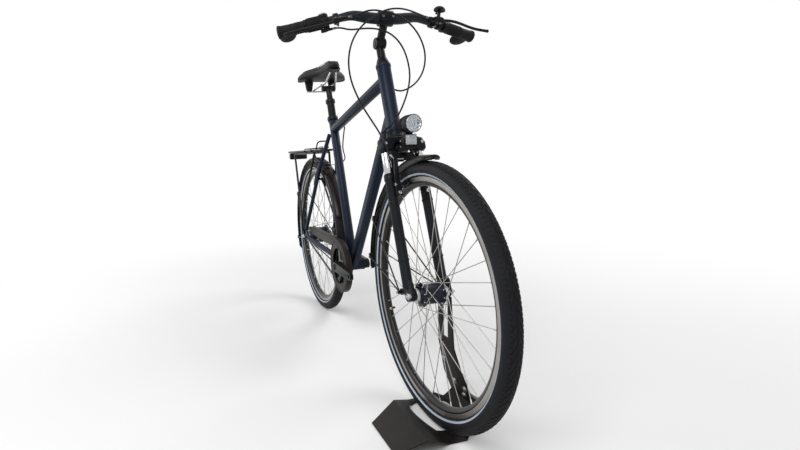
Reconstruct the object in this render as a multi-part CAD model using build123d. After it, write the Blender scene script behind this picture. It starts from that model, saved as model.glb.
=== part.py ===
from build123d import *
import math
import os

os.makedirs("parts", exist_ok=True)

# A trekking bicycle in its floor display stand. Millimetres, degrees.
# +X points forward, +Y to the rider's left, +Z up. The floor is z = 0 and the
# origin is the middle of the whole length, in the plane of the wheels.

# Wheels
wheelbase = 1072.0
wheel_radius = 355.5
tyre_width = 44.0
rim_outer_radius = 316.0
rim_depth = 26.0
rim_width = 25.0
rim_wall = 2.2
spoke_diameter = 2.0
spoke_count = 36
spoke_end_gap = 0.3

# Frame
rear_overhang = 395.0  # rear axle to the back of the tail lamp
head_angle = 71.0
seat_angle = 72.1
fork_offset = 45.0  # steering axis to front axle, square to the axis
crank_ahead = 463.0  # rear axle to crank axle, along the floor
crank_height = 306.0
head_tube_low = 475.0  # along the steering axis, from the foot of the axle's offset
head_tube_high = 696.5
head_tube_top_radius = 21.5
head_tube_low_radius = 25.0
head_tube_bore = 17.5
seat_tube_length = 603.0  # along the seat axis, from the crank axle
seat_tube_radius = 17.5
seat_tube_bore = 15.9
shell_radius = 21.5
shell_half_width = 36.5
shell_bore = 12.0
top_tube_front_z = 172.0  # along the head tube, above its low end
top_tube_rear_t = 559.0  # along the seat axis
top_tube_radius = 18.5
down_tube_front_z = 58.0
down_tube_width = 33.0
down_tube_depth = 40.0
down_tube_corner = 11.0
bottle_from_head = 300.0
bottle_spacing = 64.0
bottle_thread = 5.0
bottle_depth = 12.0
chainstay_width = 17.0
chainstay_height = 26.0
seatstay_radius = 8.5
seatstay_t = 546.0  # top end, along the seat axis
rear_spacing = 135.0
dropout_thickness = 6.0

# Fork
front_spacing = 100.0
leg_spacing = 104.0
leg_ahead = 25.0  # legs in front of the steering axis
leg_radius = 14.5
leg_top = 338.0
leg_foot = 18.0
stanchion_radius = 12.7
arch_inner = 388.0  # top of the brace between the legs
arch_outer = 406.0
crown_low = 409.0
crown_reach = 25.0  # crown outside the legs' centre lines
crown_high = 455.0
steerer_radius = 14.3
bearing_gap = 0.3
axle_radius = 5.0
axle_gap = 0.2

# Stem and handlebar
cap_height = 20.0
cap_top_radius = 15.0
steerer_below_cap = 4.0
quill_radius = 12.7
ear_radius = 14.0
ear_width = 32.0
tongue_width = 17.6
neck_radius = 12.0
stem_pivot_t = 767.0
clamp_ahead = 65.0  # bar clamp, in front of the steering axis
clamp_t = 809.0
bar_radius = 11.1
bar_clamp_radius = 15.9
bar_half_width = 313.0
bar_sweep = 41.0
bar_drop = 35.0
bar_rise = 9.0
grip_radius = 16.5
cable_radius = 2.5

# Rim brakes
brake_boss_t = 283.0  # from the axle, along the fork or the seatstays
brake_boss_y = 42.0
brake_stay_y = 46.0
brake_arm_length = 104.0
brake_arm_thickness = 9.0
brake_pad_length = 56.0
front_brake_x = 44.6  # back of the arms, in front of the steering axis
rear_brake_x = 20.5  # front of the arms, behind the axle's line up the stays

# Fenders
fender_gap = 14.0
fender_width = 56.0
fender_crown = 12.0
fender_wall = 2.0
stay_radius = 2.2

# Seat
post_collar_t = 688.0
post_top_t = 739.0
post_radius = 15.7
post_upper_radius = 12.0
saddle_length = 262.0
saddle_width = 218.0
saddle_nose_width = 58.0
saddle_top = 1104.0
saddle_under = 1060.0
spring_y = 62.0
spring_radius = 17.0
spring_foot = 1013.0
spring_high = 1063.0

# Rack
rack_height = 757.0
rack_front = 150.0  # in front of the rear axle
rack_back = -360.0
rack_half_width = 58.0
rack_tube_radius = 5.0

# Chain case and cranks
case_radius = 102.0
case_inner_y = 40.5
case_depth = 22.0
case_wall = 2.5
case_window = 70.0
case_run_height = 34.0
case_run_end = 62.0  # in front of the rear axle
crank_length = 170.0
crank_boss_radius = 18.5
chain_line = 48.0
chainring_radius = 85.0
sprocket_radius = 36.5
chain_height = 8.0
chain_width = 5.0
cup_width = 3.7
crank_arm_right = 67.5  # inner faces of the crank arms, from the middle
crank_arm_left = 48.0
crank_flare_left = 12.0  # the left arm's tip stands outside its boss
crank_boss_right = chain_line + 6.5  # inner ends of the arms' bosses
crank_boss_left = 45.5
crank_arm_thickness = 13.0
crank_tip_radius = 13.5
pedal_thread = 14.3

# Display stand
sheet = 3.0
stand_foot_y = 170.0
stand_ridge_y = 104.0
stand_ridge_z = 56.0
stand_valley_y = 27.0
stand_rear = -27.0  # of the ridge, from the tyre's contact
stand_front = 174.0
stand_slot_width = 26.0
arm_y = 45.0
arm_thickness = 4.0
arm_kink_z = 208.0
arm_top_z = 348.0
arm_back = -42.0  # of the arm's foot, from the tyre's contact
arm_front = 80.0

total_length = rear_overhang + wheelbase + wheel_radius
front_x = total_length / 2 - wheel_radius
rear_x = front_x - wheelbase
head = math.radians(head_angle)
LOW = (Align.CENTER, Align.CENTER, Align.MIN)

# Steering frame: x forward, y left, z up the steering axis
steer = Plane(
    origin=(
        front_x - fork_offset * math.sin(head),
        0,
        wheel_radius - fork_offset * math.cos(head),
    ),
    x_dir=(math.sin(head), 0, math.cos(head)),
    z_dir=(-math.cos(head), 0, math.sin(head)),
)
seat_rad = math.radians(seat_angle)
# Seat frame: z up the seat tube, from the crank axle
seat = Plane(
    origin=(rear_x + crank_ahead, 0, crank_height),
    x_dir=(math.sin(seat_rad), 0, math.cos(seat_rad)),
    z_dir=(-math.cos(seat_rad), 0, math.sin(seat_rad)),
)


def at(plane, x, y, z):
    """World point of a local point of a plane."""
    return plane.from_local_coords(Vector(x, y, z))


def save(name, *shapes):
    solids = [s for shape in shapes for s in shape.solids()]
    export_step(solids[0] if len(solids) == 1 else Compound(children=solids), f"parts/{name}.step")


def bar(start, end, radius, end_radius=None):
    """Round bar between two points, tapered when an end radius is given."""
    a, b = Vector(*start), Vector(*end)
    plane = Plane(origin=a, z_dir=b - a)
    if end_radius is None:
        return plane * Cylinder(radius, (b - a).length, align=LOW)
    return plane * Cone(radius, end_radius, (b - a).length, align=LOW)


def bent(points, radii, radius):
    """Round bar along straight runs joined by tangent arcs."""
    path = FilletPolyline(*points, radius=radii)
    return sweep(Plane(origin=path @ 0, z_dir=path % 0) * Circle(radius), path)


def cable(name, points, radius):
    """A housing whose bends are as large as their runs allow."""
    p = [Vector(*q) for q in points]
    radii = []
    for a, b, c in zip(p, p[1:], p[2:]):
        turn = math.radians((b - a).get_angle(c - b))
        radii.append(0.45 * min((b - a).length, (c - b).length) / math.tan(turn / 2))
    tube = bent(p, radii, radius)
    path = FilletPolyline(*p, radius=radii)
    ratio = tube.volume / (math.pi * radius**2 * path.length)
    print(name, "length", round(path.length, 1), "volume ratio", round(ratio, 4))
    print(name, "radii", [round(r, 1) for r in radii])
    return tube


def wheel_axis(x):
    return Axis((x, 0, wheel_radius), (0, 1, 0))


def ring(profile, x):
    """Turns a profile of (distance from the axle, y) points about a wheel axle."""
    face = make_face(Polyline(*[(x + r, y, wheel_radius) for r, y in profile], close=True))
    return revolve(face, wheel_axis(x), 360)


# ---------------------------------------------------------------- wheels
def rim_profile():
    half = rim_width / 2
    deep = rim_outer_radius - rim_depth
    return [
        (rim_outer_radius, half),
        (rim_outer_radius - 14, half),
        (deep, 5),
        (deep, -5),
        (rim_outer_radius - 14, -half),
        (rim_outer_radius, -half),
    ]


def tyre(x):
    """Round casing, flat where it sits on the rim."""
    centre = wheel_radius - tyre_width / 2
    section = Pos(x + centre, 0, wheel_radius) * (Plane.XY * Circle(tyre_width / 2))
    seat_cut = Pos(x + rim_outer_radius - tyre_width / 2, 0, wheel_radius) * Rectangle(
        tyre_width, tyre_width
    )
    return revolve(section - seat_cut, wheel_axis(x), 360)


def spokes(x, flange_radius, flange_left, flange_right):
    """Straight spokes, crossing between flange and rim, each side in two layers."""
    rim_seat = rim_outer_radius - rim_depth - spoke_end_gap
    start = flange_radius + spoke_diameter / 2 + spoke_end_gap
    step = 360 / spoke_count
    made = []
    for i in range(spoke_count):
        side = 1 if i % 2 else -1
        layer = 1 if (i // 2) % 2 else -1
        flange_y = (flange_left if side > 0 else flange_right) + 2.0 * layer
        rim_angle = math.radians(i * step)
        flange_angle = rim_angle + layer * math.radians(62)
        a = (
            x + start * math.cos(flange_angle),
            flange_y,
            wheel_radius + start * math.sin(flange_angle),
        )
        b = (
            x + rim_seat * math.cos(rim_angle),
            side * 1.5 + 1.4 * layer,
            wheel_radius + rim_seat * math.sin(rim_angle),
        )
        made.append(bar(a, b, spoke_diameter / 2))
    return made


front_flange_radius = 34.0
front_flange_y = 28.0
front_hub_end = 37.0
rear_flange_radius = 46.0
rear_flange_left = 31.0
rear_flange_right = -28.0
rear_hub_left = 52.0
shift_joint_radius = 24.0
sprocket_y = -chain_line
hub_bore = axle_radius + axle_gap


def front_wheel():
    end, y, f = front_hub_end, front_flange_y, front_flange_radius
    hub = ring(
        [
            (hub_bore, end),
            (15, end),
            (16, y + 4),
            (f, y + 4),
            (f, y - 4),
            (29, y - 6),
            (29, 6 - y),
            (f, 4 - y),
            (f, -y - 4),
            (24, -y - 4),
            (24, -end),
            (hub_bore, -end),
        ],
        front_x,
    )
    save("front_hub", hub)
    save("front_tyre", tyre(front_x))
    save("front_rim", ring(rim_profile(), front_x))
    save("front_spokes", *spokes(front_x, f, y, -y))


def rear_wheel():
    left, right, f = rear_flange_left, rear_flange_right, rear_flange_radius
    hub = ring(
        [
            (hub_bore, rear_hub_left),
            (20, rear_hub_left),
            (22, left + 9),
            (32, left + 4),
            (f, left + 4),
            (f, left - 4),
            (38, left - 7),
            (38, right + 7),
            (f, right + 4),
            (f, right - 4),
            (36, right - 6),
            (30, sprocket_y + 2),
            (sprocket_radius, sprocket_y + 1),
            (sprocket_radius, sprocket_y - 1),
            (20, sprocket_y - 2),
            (20, sprocket_y - 8),
            (hub_bore, sprocket_y - 8),
        ],
        rear_x,
    )
    save("rear_hub", hub)
    save("rear_tyre", tyre(rear_x))
    save("rear_rim", ring(rim_profile(), rear_x))
    save("rear_spokes", *spokes(rear_x, f, left, right))


def axle(x, half, dropout_outer):
    """Axle with a nut outside each dropout."""
    rod = Pos(x, half, wheel_radius) * (Rot(90, 0, 0) * Cylinder(axle_radius, 2 * half, align=LOW))
    for side in (1, -1):
        nut = extrude(Plane.XZ * RegularPolygon(9.5, 6), 9)
        nut = Pos(x, side * dropout_outer + (9 if side > 0 else 0), wheel_radius) * nut
        rod += nut
    return rod


def axles():
    outer = dropout_inner + fork_dropout_thickness
    rod = axle(front_x, outer + 14, outer)
    tip = math.hypot(stand_slot_width / 2, wheel_radius - arm_top_z)
    cap = Pos(front_x, dropout_inner, wheel_radius) * (
        Rot(90, 0, 0) * Cylinder(tip - 0.3, dropout_inner - front_hub_end - 1, align=LOW)
    )
    plug = Pos(front_x, -front_hub_end - 1, wheel_radius) * (Rot(90, 0, 0) * Cylinder(20, 9, align=LOW))
    save("front_axle", rod + cap + plug)
    joint = Pos(rear_x, sprocket_y - 9, wheel_radius) * (
        Rot(90, 0, 0) * Cylinder(shift_joint_radius, 10.2, align=LOW)
    )
    spacer = Pos(rear_x, rear_spacing / 2, wheel_radius) * (
        Rot(90, 0, 0) * Cylinder(9, rear_spacing / 2 - rear_hub_left - 1, align=LOW)
    )
    save("rear_axle", axle(rear_x, dropout_far + 20, dropout_far + 5) + joint + spacer)


# ---------------------------------------------------------------- fork
dropout_inner = front_spacing / 2
fork_dropout_thickness = 8.0


eyelet_x = -13.0  # stay eyelets on the fork, behind the steering axis
eyelet_z = 16.0


def fork():
    legs = []
    for side in (1, -1):
        y = side * leg_spacing / 2
        leg = Pos(leg_ahead, y, leg_foot) * Cylinder(leg_radius, leg_top - leg_foot, align=LOW)
        leg = fillet(leg.edges().group_by(Axis.Z)[0], 9)
        lip = Pos(leg_ahead, y, leg_top - 12) * Cylinder(leg_radius + 1.8, 12, align=LOW)
        plate_y = side * (dropout_inner + fork_dropout_thickness / 2)
        plate_back, plate_front = leg_ahead - 17, fork_offset + 13
        plate = Pos((plate_back + plate_front) / 2, plate_y, 14) * Box(
            plate_front - plate_back, fork_dropout_thickness, 56
        )
        plate = chamfer(plate.edges().filter_by(Axis.Y), 10)
        eye_length = leg_ahead - eyelet_x + 8
        eye = Pos(leg_ahead - eye_length / 2, plate_y, eyelet_z) * Box(eye_length, fork_dropout_thickness, 18)
        plate += chamfer(eye.edges().filter_by(Axis.Y), 5)
        hole = Pos(fork_offset, y, 0) * (Rot(90, 0, 0) * Cylinder(axle_radius + axle_gap, 60))
        boss = Pos(leg_ahead, side * brake_boss_y, brake_boss_t) * (
            Rot(0, 90, 0) * Cylinder(7, front_brake_x - leg_ahead, align=LOW)
        )
        legs.append(leg + lip + plate + boss - hole)
    arch_low = leg_top - 26
    arch_side = leg_spacing / 2 - stanchion_radius - 8.9  # between fender and stanchion
    half = leg_spacing / 2
    outline = [
        (half, arch_low),
        (half, leg_top - 8),
        (arch_side + 8.4, leg_top - 2),
        (arch_side + 8.4, arch_inner - 6),
        (32, arch_outer),
        (-32, arch_outer),
        (-arch_side - 8.4, arch_inner - 6),
        (-arch_side - 8.4, leg_top - 2),
        (-half, leg_top - 8),
        (-half, arch_low),
        (-arch_side, arch_low),
        (-arch_side, arch_inner - 12),
        (-24, arch_inner),
        (24, arch_inner),
        (arch_side, arch_inner - 12),
        (arch_side, arch_low),
    ]
    face = make_face(Polyline(*[(leg_ahead - 5, y, z) for y, z in outline], close=True))
    brace = extrude(face, 11, dir=(1, 0, 0))
    lowers = legs[0] + legs[1] + brace
    save("fork_lowers", steer * lowers)
    tubes = [
        Pos(leg_ahead, side * leg_spacing / 2, leg_top)
        * Cylinder(stanchion_radius, crown_low - leg_top, align=LOW)
        for side in (1, -1)
    ]
    save("fork_stanchions", *[steer * t for t in tubes])


def crown():
    height = crown_high - crown_low
    plan = Pos(leg_ahead, 0) * (Rot(0, 0, 90) * SlotOverall(leg_spacing + 2 * crown_reach, 44))
    plan += Circle(31)
    steerer_top = head_tube_high + bearing_gap + cap_height - steerer_below_cap
    body = Pos(0, 0, crown_low) * extrude(plan, height - 6)
    body = fillet(body.edges().group_by(Axis.Z)[-1], 8)
    race = Pos(0, 0, crown_high - 12) * Cone(30, head_tube_low_radius, head_tube_low - crown_high
                                             + 12 - bearing_gap, align=LOW)
    steerer = Pos(0, 0, crown_low + 4) * Cylinder(
        steerer_radius, steerer_top - crown_low - 4, align=LOW
    )
    lamp_boss = Pos(leg_ahead + 21, 0, crown_low + 16) * Box(10, 24, 20)
    save("fork_crown", steer * (body + race + steerer + lamp_boss))


# ---------------------------------------------------------------- stem and bar
def stem():
    """Cap over the headset, and an angle-adjustable stem on a quill inside the steerer."""
    low = head_tube_high + bearing_gap
    steerer_top = low + cap_height - steerer_below_cap
    cap = Pos(0, 0, low) * Cone(head_tube_top_radius, cap_top_radius, cap_height, align=LOW)
    cap -= Pos(0, 0, low - 1) * Cylinder(steerer_radius + 0.1, steerer_top - low + 1, align=LOW)
    cap -= Pos(0, 0, low) * Cylinder(quill_radius + 0.1, cap_height + 1, align=LOW)
    save("headset_cap", steer * cap)

    pivot = Pos(2, 0, stem_pivot_t)
    across = Rot(90, 0, 0)
    quill = Pos(0, 0, steerer_top) * Cylinder(quill_radius, stem_pivot_t - steerer_top, align=LOW)
    ears = pivot * (across * Cylinder(ear_radius, ear_width))
    gap = pivot * (across * Cylinder(ear_radius + 0.3, tongue_width + 0.4))
    neck_room = Pos(20, 0, stem_pivot_t + 8) * Box(40, 2 * neck_radius + 0.4, 26)
    save("stem_base", steer * (quill + ears - gap - (neck_room - pivot * (across * Cylinder(ear_radius, 60)))))

    run = Vector(clamp_ahead - 2, 0, clamp_t - stem_pivot_t)
    tube_plane = Plane(origin=(2, 0, stem_pivot_t), z_dir=run)
    neck = tube_plane * Cylinder(neck_radius, run.length - 4, align=LOW)
    neck -= pivot * (across * Cylinder(ear_radius + 0.3, 60))
    tongue = tube_plane * Cylinder(neck_radius, ear_radius + 12, align=LOW)
    tongue &= Pos(35, 0, stem_pivot_t + 20) * Box(120, tongue_width, 140)
    tongue += pivot * (across * Cylinder(ear_radius, tongue_width))
    head_block = Pos(clamp_ahead, 0, clamp_t) * (Rot(90, 0, 0) * Cylinder(22, 42))
    bar_hole = Pos(clamp_ahead, 0, clamp_t) * (
        Rot(90, 0, 0) * Cylinder(bar_clamp_radius + 0.1, 60)
    )
    face_plane = Plane(origin=(clamp_ahead, 0, clamp_t), z_dir=run)
    front_half = face_plane * Pos(0, 0, 25.6) * Box(60, 60, 50)
    block = (tongue + neck + head_block) - bar_hole
    save("stem_neck", steer * (block - front_half))
    front = (face_plane * Pos(0, 0, 26) * Box(60, 60, 50)) & (head_block - bar_hole)
    save("stem_faceplate", steer * front)


def clamp_point():
    return at(steer, clamp_ahead, 0, clamp_t)


def bar_points():
    """Centre line of the handlebar, right end to left end."""
    c = clamp_point()
    half = [(0, 40, 0), (-6, 102, bar_rise), (-bar_sweep, bar_half_width, -bar_drop)]
    left = [Vector(c.X + x, y, c.Z + z) for x, y, z in half]
    right = [Vector(p.X, -p.Y, p.Z) for p in reversed(left)]
    return right + left


def grip_plane(side):
    """Local frame of a grip: z runs inboard from the bar's end, x forward."""
    p = bar_points()
    end, inner = (p[-1], p[-2]) if side > 0 else (p[0], p[1])
    direction = (inner - end).normalized()
    forward = Vector(1, 0, 0)
    forward = (forward - direction * forward.dot(direction)).normalized()
    return Plane(origin=end, x_dir=forward, z_dir=direction)


bar_clearance = 0.1


def handlebar():
    tube = bent(bar_points(), [120, 100, 100, 120], bar_radius)
    c = clamp_point()
    thick = Pos(c.X, 0, c.Z) * (Rot(90, 0, 0) * Cylinder(bar_clamp_radius, 56))
    tapers = []
    for side in (1, -1):
        cone = Pos(c.X, side * 28, c.Z) * (
            Rot(-90 * side, 0, 0) * Cone(bar_clamp_radius, bar_radius + 0.3, 34, align=LOW)
        )
        tapers.append(cone)
    return tube + thick + tapers[0] + tapers[1]


grip_left_length = 124.0
grip_right_length = 80.0
shifter_length = 64.0


def grips():
    pair = []
    for side, length in ((1, grip_left_length), (-1, grip_right_length)):
        body = Cylinder(grip_radius, length, align=LOW)
        end_cap = Pos(0, 0, -4) * Cylinder(grip_radius + 2, 8, align=LOW)
        wing = Pos(-14, 0, 4) * extrude(Ellipse(30, 12), 34)
        wing = fillet(wing.edges().group_by(Axis.Z)[-1], 4)
        hole = Pos(0, 0, -bar_clearance) * Cylinder(bar_radius + bar_clearance, length + 20, align=LOW)
        ring_end = Pos(0, 0, length - 5) * Cylinder(grip_radius + 2.2, 5, align=LOW)
        pair.append(grip_plane(side) * (body + end_cap + wing + ring_end - hole))
    save("grips", *pair)


def above_bar(side):
    """Angle of the upward direction in a grip's frame."""
    plane = grip_plane(side)
    up = plane.to_local_coords(Vector(0, 0, 1) + plane.origin)
    return math.degrees(math.atan2(up.Y, up.X))


shifter_start = grip_right_length + 1
outlet_start = shifter_start + shifter_length - 25
outlet_length = 34.0
outlet_below = 24.0


def shifter():
    barrel = Pos(0, 0, shifter_start) * Cylinder(19.5, shifter_length - 18, align=LOW)
    housing = Pos(0, 0, shifter_start + shifter_length - 18) * Cylinder(17, 18, align=LOW)
    turned = Rot(0, 0, above_bar(-1))
    window = Pos(0, 0, shifter_start + shifter_length - 12) * turned * (
        Pos(17, 0, 0) * (Rot(0, 90, 0) * Cylinder(15, 12))
    )
    outlet = turned * Pos(-outlet_below, 0, outlet_start) * Cylinder(5, outlet_length, align=LOW)
    neck = turned * Pos(8 - outlet_below, 0, outlet_start + 9) * Box(16, 8, 18)
    hole = Pos(0, 0, shifter_start - 1) * Cylinder(
        bar_radius + bar_clearance, shifter_length + 30, align=LOW
    )
    save("twist_shifter", grip_plane(-1) * (barrel + housing + window + outlet + neck - hole))


def shifter_outlet():
    """First two points of the cable that leaves the shifter's barrel straight."""
    down = math.radians(above_bar(-1) + 180)
    x, y = outlet_below * math.cos(down), outlet_below * math.sin(down)
    end = outlet_start + outlet_length
    return [at(grip_plane(-1), x, y, end + reach) for reach in (0.3, 20)]


lever_clamp_left = 150.0  # from the bar's end
lever_clamp_right = 163.0


lever_lift = {1: 2.0, -1: -18.0}  # degrees the left and right levers are turned up about the bar


def levers():
    pair = []
    for side, place in ((1, lever_clamp_left), (-1, lever_clamp_right)):
        plane = grip_plane(side)
        clamp = Pos(0, 0, place) * Cylinder(16, 14, align=LOW)
        hole = Pos(0, 0, place - 20) * Cylinder(bar_radius + bar_clearance, 60, align=LOW)
        body = Pos(24, 0, place + 6) * Box(34, 14, 34)
        body = fillet(body.edges().filter_by(Axis.Y), 6)
        blade_line = [
            (34, 0, place - 6),
            (52, 0, place - 40),
            (51, 0, place - 112),
            (68, 0, place - 156),
        ]
        outer = [
            (41, 0, place + 2),
            (62, 0, place - 38),
            (60, 0, place - 110),
            (75, 0, place - 158),
        ]
        face = make_face(Polyline(*blade_line, *reversed(outer), close=True))
        blade = extrude(face, 6, dir=(0, 1, 0), both=True)
        blade = fillet(blade.edges().filter_by(Axis.Y), 2.5)
        barrel = Pos(24, 0, place + 21) * Cylinder(5, 16, align=LOW)
        pair.append(plane * (Rot(0, 0, side * lever_lift[side]) * (clamp + body + blade + barrel - hole)))
    save("brake_levers", *pair)


bell_place = 130.0  # from the bar's end, between the grip and the lever


def bell():
    place = bell_place
    plane = grip_plane(1)
    angle = above_bar(1)
    band = Pos(0, 0, place) * Cylinder(14.5, 8, align=LOW)
    hole = Pos(0, 0, place - 1) * Cylinder(bar_radius + bar_clearance + 0.4, 24, align=LOW)
    post = Rot(0, 0, angle) * (Pos(28, 0, place + 4) * (Rot(0, 90, 0) * Cylinder(6, 32)))
    dome = Rot(0, 0, angle) * (
        Pos(42, 0, place + 4.5) * (Rot(0, 90, 0) * Cylinder(18, 12, align=LOW))
    )
    dome = fillet(dome.edges(), 4)
    save("bell", plane * (band + post + dome - hole))


# ---------------------------------------------------------------- fenders
def fender(x, first, last):
    """Curved strip over a wheel between two angles from straight ahead."""
    low = wheel_radius + fender_gap
    half = fender_width / 2
    side = low - fender_crown
    outer = ThreePointArc((half, side), (0, low + fender_wall), (-half, side))
    inner = ThreePointArc(
        (-half + fender_wall, side), (0, low), (half - fender_wall, side)
    )
    closing = [Line(outer @ 1, inner @ 0), Line(inner @ 1, outer @ 0)]
    flat = make_face([outer, inner, *closing])
    # the sketch's x is across the wheel and its y is the distance from the axle
    start = math.radians(first)
    plane = Plane(
        origin=(x, 0, wheel_radius),
        x_dir=(0, 1, 0),
        z_dir=Vector(0, 1, 0).cross(Vector(math.cos(start), 0, math.sin(start))),
    )
    turned = revolve(plane * flat, wheel_axis(x), -(last - first))
    return turned


def polar(x, radius, angle, y):
    a = math.radians(angle)
    return (x + radius * math.cos(a), y, wheel_radius + radius * math.sin(a))


front_fender_first = 84.0
front_fender_last = 181.0
rear_fender_first = 20.0
rear_fender_last = 200.0
stay_side = fender_width / 2 + stay_radius + 0.2


def front_fender():
    save("front_fender", fender(front_x, front_fender_first, front_fender_last))
    stays = []
    for side in (1, -1):
        eyelet = at(steer, eyelet_x, side * (dropout_inner + fork_dropout_thickness + 4.4), eyelet_z)
        for angle in (174, 152):
            end = polar(front_x, wheel_radius + 4, angle, side * stay_side)
            stays.append(bar(eyelet, end, stay_radius))
        bolt = bar(
            eyelet + Vector(0, -side * 4.3, 0), eyelet + Vector(0, side * 6, 0), 5
        )
        stays[-2:] = [stays[-2] + stays[-1] + bolt]
    save("front_fender_stays", *stays)


rear_stay_y = rear_spacing / 2 + dropout_thickness


def rear_fender():
    save("rear_fender", fender(rear_x, rear_fender_first, rear_fender_last))
    stays = []
    for side in (1, -1):
        eyelet = Vector(rear_x - 14, side * (rear_stay_y + 5.4), wheel_radius - 12)
        pair = []
        for angle in (150, 190):
            end = polar(rear_x, wheel_radius + 4, angle, side * stay_side)
            pair.append(bar(eyelet, end, stay_radius))
        bolt = bar(eyelet + Vector(0, -side * 5.3, 0), eyelet + Vector(0, side * 6, 0), 5)
        stays.append(pair[0] + pair[1] + bolt)
    save("rear_fender_stays", *stays)


# ---------------------------------------------------------------- lamp
lamp_radius = 25.0
lamp_length = 62.0
glass_depth = 10.0
bracket_half = 22.0


def lamp():
    face_x = rear_x + 990.0
    z = 812.0
    body = Pos(face_x - lamp_length, 0, z) * (
        Rot(0, 90, 0) * Cone(17, lamp_radius, lamp_length - 22, align=LOW)
    )
    body += Pos(face_x - 22, 0, z) * (Rot(0, 90, 0) * Cylinder(lamp_radius, 22, align=LOW))
    neck = Pos(face_x - 30, 0, z - 34) * Cylinder(7, 20, align=LOW)
    body += neck
    save("headlight", fillet(body.edges().sort_by(Axis.X)[:1], 6))
    glass = Pos(face_x, 0, z) * (Rot(0, 90, 0) * Cylinder(lamp_radius - 1, glass_depth, align=LOW))
    glass = fillet(glass.edges().sort_by(Axis.X)[-1], 5)
    save("headlight_lens", glass)
    box_top = z - 34
    box_low = 739.0
    box = Pos(face_x - 46, 0, box_low) * Box(46, 2 * bracket_half, box_top - box_low, align=LOW)
    box = fillet(box.edges().filter_by(Axis.X), 8)
    boss = at(steer, leg_ahead + 26 + bearing_gap / 3, 0, crown_low + 16)
    arm = Plane(origin=boss, z_dir=(1, 0, -0.18)) * Box(18, 22, 20, align=LOW)
    crown_side = steer * (Pos(leg_ahead + 26 - 50, 0, crown_low) * Box(100, 90, 160))
    save("headlight_bracket", (box + arm) - crown_side)
    reflector = Pos(face_x - 19.5, 0, box_low + 4) * Box(7, 36, 30, align=LOW)
    reflector = fillet(reflector.edges().filter_by(Axis.X), 3)
    save("front_reflector", reflector)


# ---------------------------------------------------------------- rim brakes
def brake(plane, arm_x, boss_y, pad_x):
    """Two upright arms with pads beside the rim, and the wire between their tops."""
    pad_y = rim_width / 2 + 2
    pad_thick, pad_high = 9.0, 11.0
    top_y, low = 36.0, brake_boss_t
    top = low + brake_arm_length
    middle = arm_x + brake_arm_thickness / 2
    wire = Pos(middle, 0, top - 7) * (Rot(90, 0, 0) * Cylinder(1.2, 2 * top_y))
    boot = Pos(middle, 0, top - 7) * (Rot(90, 0, 0) * Cylinder(4, 26))
    shape = wire + boot
    for side in (1, -1):
        outline = [
            (boss_y + 9, low - 8),
            (boss_y + 7, low + 45),
            (top_y + 6, top),
            (top_y - 5, top),
            (boss_y - 6, low + 40),
            (boss_y - 9, low - 8),
        ]
        face = make_face(Polyline(*[(arm_x, side * y, z) for y, z in outline], close=True))
        arm = extrude(face, brake_arm_thickness, dir=(1, 0, 0))
        arm = fillet(arm.edges().filter_by(Axis.X), 3)
        holder_length = boss_y - 2 - pad_y - pad_thick / 2
        holder = Pos(middle, side * (boss_y - 2 - holder_length / 2), low + 25) * (
            Rot(90, 0, 0) * Cylinder(5, holder_length)
        )
        pad = Pos(pad_x, side * (pad_y + pad_thick / 2), low + 25) * Box(
            brake_pad_length, pad_thick, pad_high
        )
        shape += arm + holder + fillet(pad.edges().filter_by(Axis.Y), 4)
    return plane * shape


def stay_plane():
    """Frame of the rear brake: z runs up between the seatstays, x to their back."""
    up = (seatstay_top(0) - seatstay_foot(0)).normalized()
    return Plane(origin=(rear_x, 0, wheel_radius), x_dir=(-up.Z, 0, up.X), z_dir=up)


def brakes():
    save("front_brake", brake(steer, front_brake_x, brake_boss_y, fork_offset))
    save("rear_brake", brake(stay_plane(), rear_brake_x, brake_stay_y, 3))


def cables():
    def near_axle(points):
        return [(rear_x + x, y, z) for x, y, z in points]

    def from_barrel(side, place):
        """First two points of a cable that leaves a lever's barrel straight."""
        lift = math.radians(side * lever_lift[side])
        x, y = 24 * math.cos(lift), 24 * math.sin(lift)
        return [at(grip_plane(side), x, y, place + reach) for reach in (37.3, 58)]

    front = near_axle(
        [
            (868, 44, 1146),
            (883, -16, 1139),
            (886, -60, 1117),
            (890, -102, 1088),
            (892, -131, 1048),
            (892, -144, 1000),
            (892, -141, 952),
            (892, -127, 910),
            (893, -106, 868),
            (900, -84, 830),
            (916, -69, 797),
            (936, -64, 770),
            (945, -58, 748),
            (951, -52, 731),
        ]
    )
    tip = at(steer, front_brake_x + brake_arm_thickness / 2, -44, brake_boss_t + 97)
    route = [*from_barrel(1, lever_clamp_left), *front, tip]
    save("front_brake_cable", cable("front_brake_cable", route, cable_radius))
    gear = near_axle(
        [
            (830, -112, 1092),
            (856, -76, 1092),
            (873, -38, 1086),
            (881, -3, 1070),
            (884, 25, 1040),
            (884, 42, 1000),
            (886, 48, 955),
            (890, 38, 912),
            (899, 18, 872),
            (909, -4, 840),
            (911, -26, 816),
            (898, -41, 801),
            (876, -44, 794),
            (857, -33, 793),
            (842, -19.4, 797),
        ]
    )
    save("gear_cable", cable("gear_cable", [*shifter_outlet(), *gear], cable_radius))
    rear = near_axle(
        [
            (864, -62, 1141),
            (870, -20, 1135),
            (880, 20, 1123),
            (886, 54, 1098),
            (891, 80, 1062),
            (891, 96, 1018),
            (886, 94, 973),
            (874, 77, 938),
            (855, 50, 918),
            (832, 30, 917),
        ]
    )
    entry = near_axle([(803.5, 17, 935)])[0]
    route = [*from_barrel(-1, lever_clamp_right), *rear, entry]
    save("rear_brake_cable", cable("rear_brake_cable", route, cable_radius))
    frame_cables(near_axle)


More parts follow.
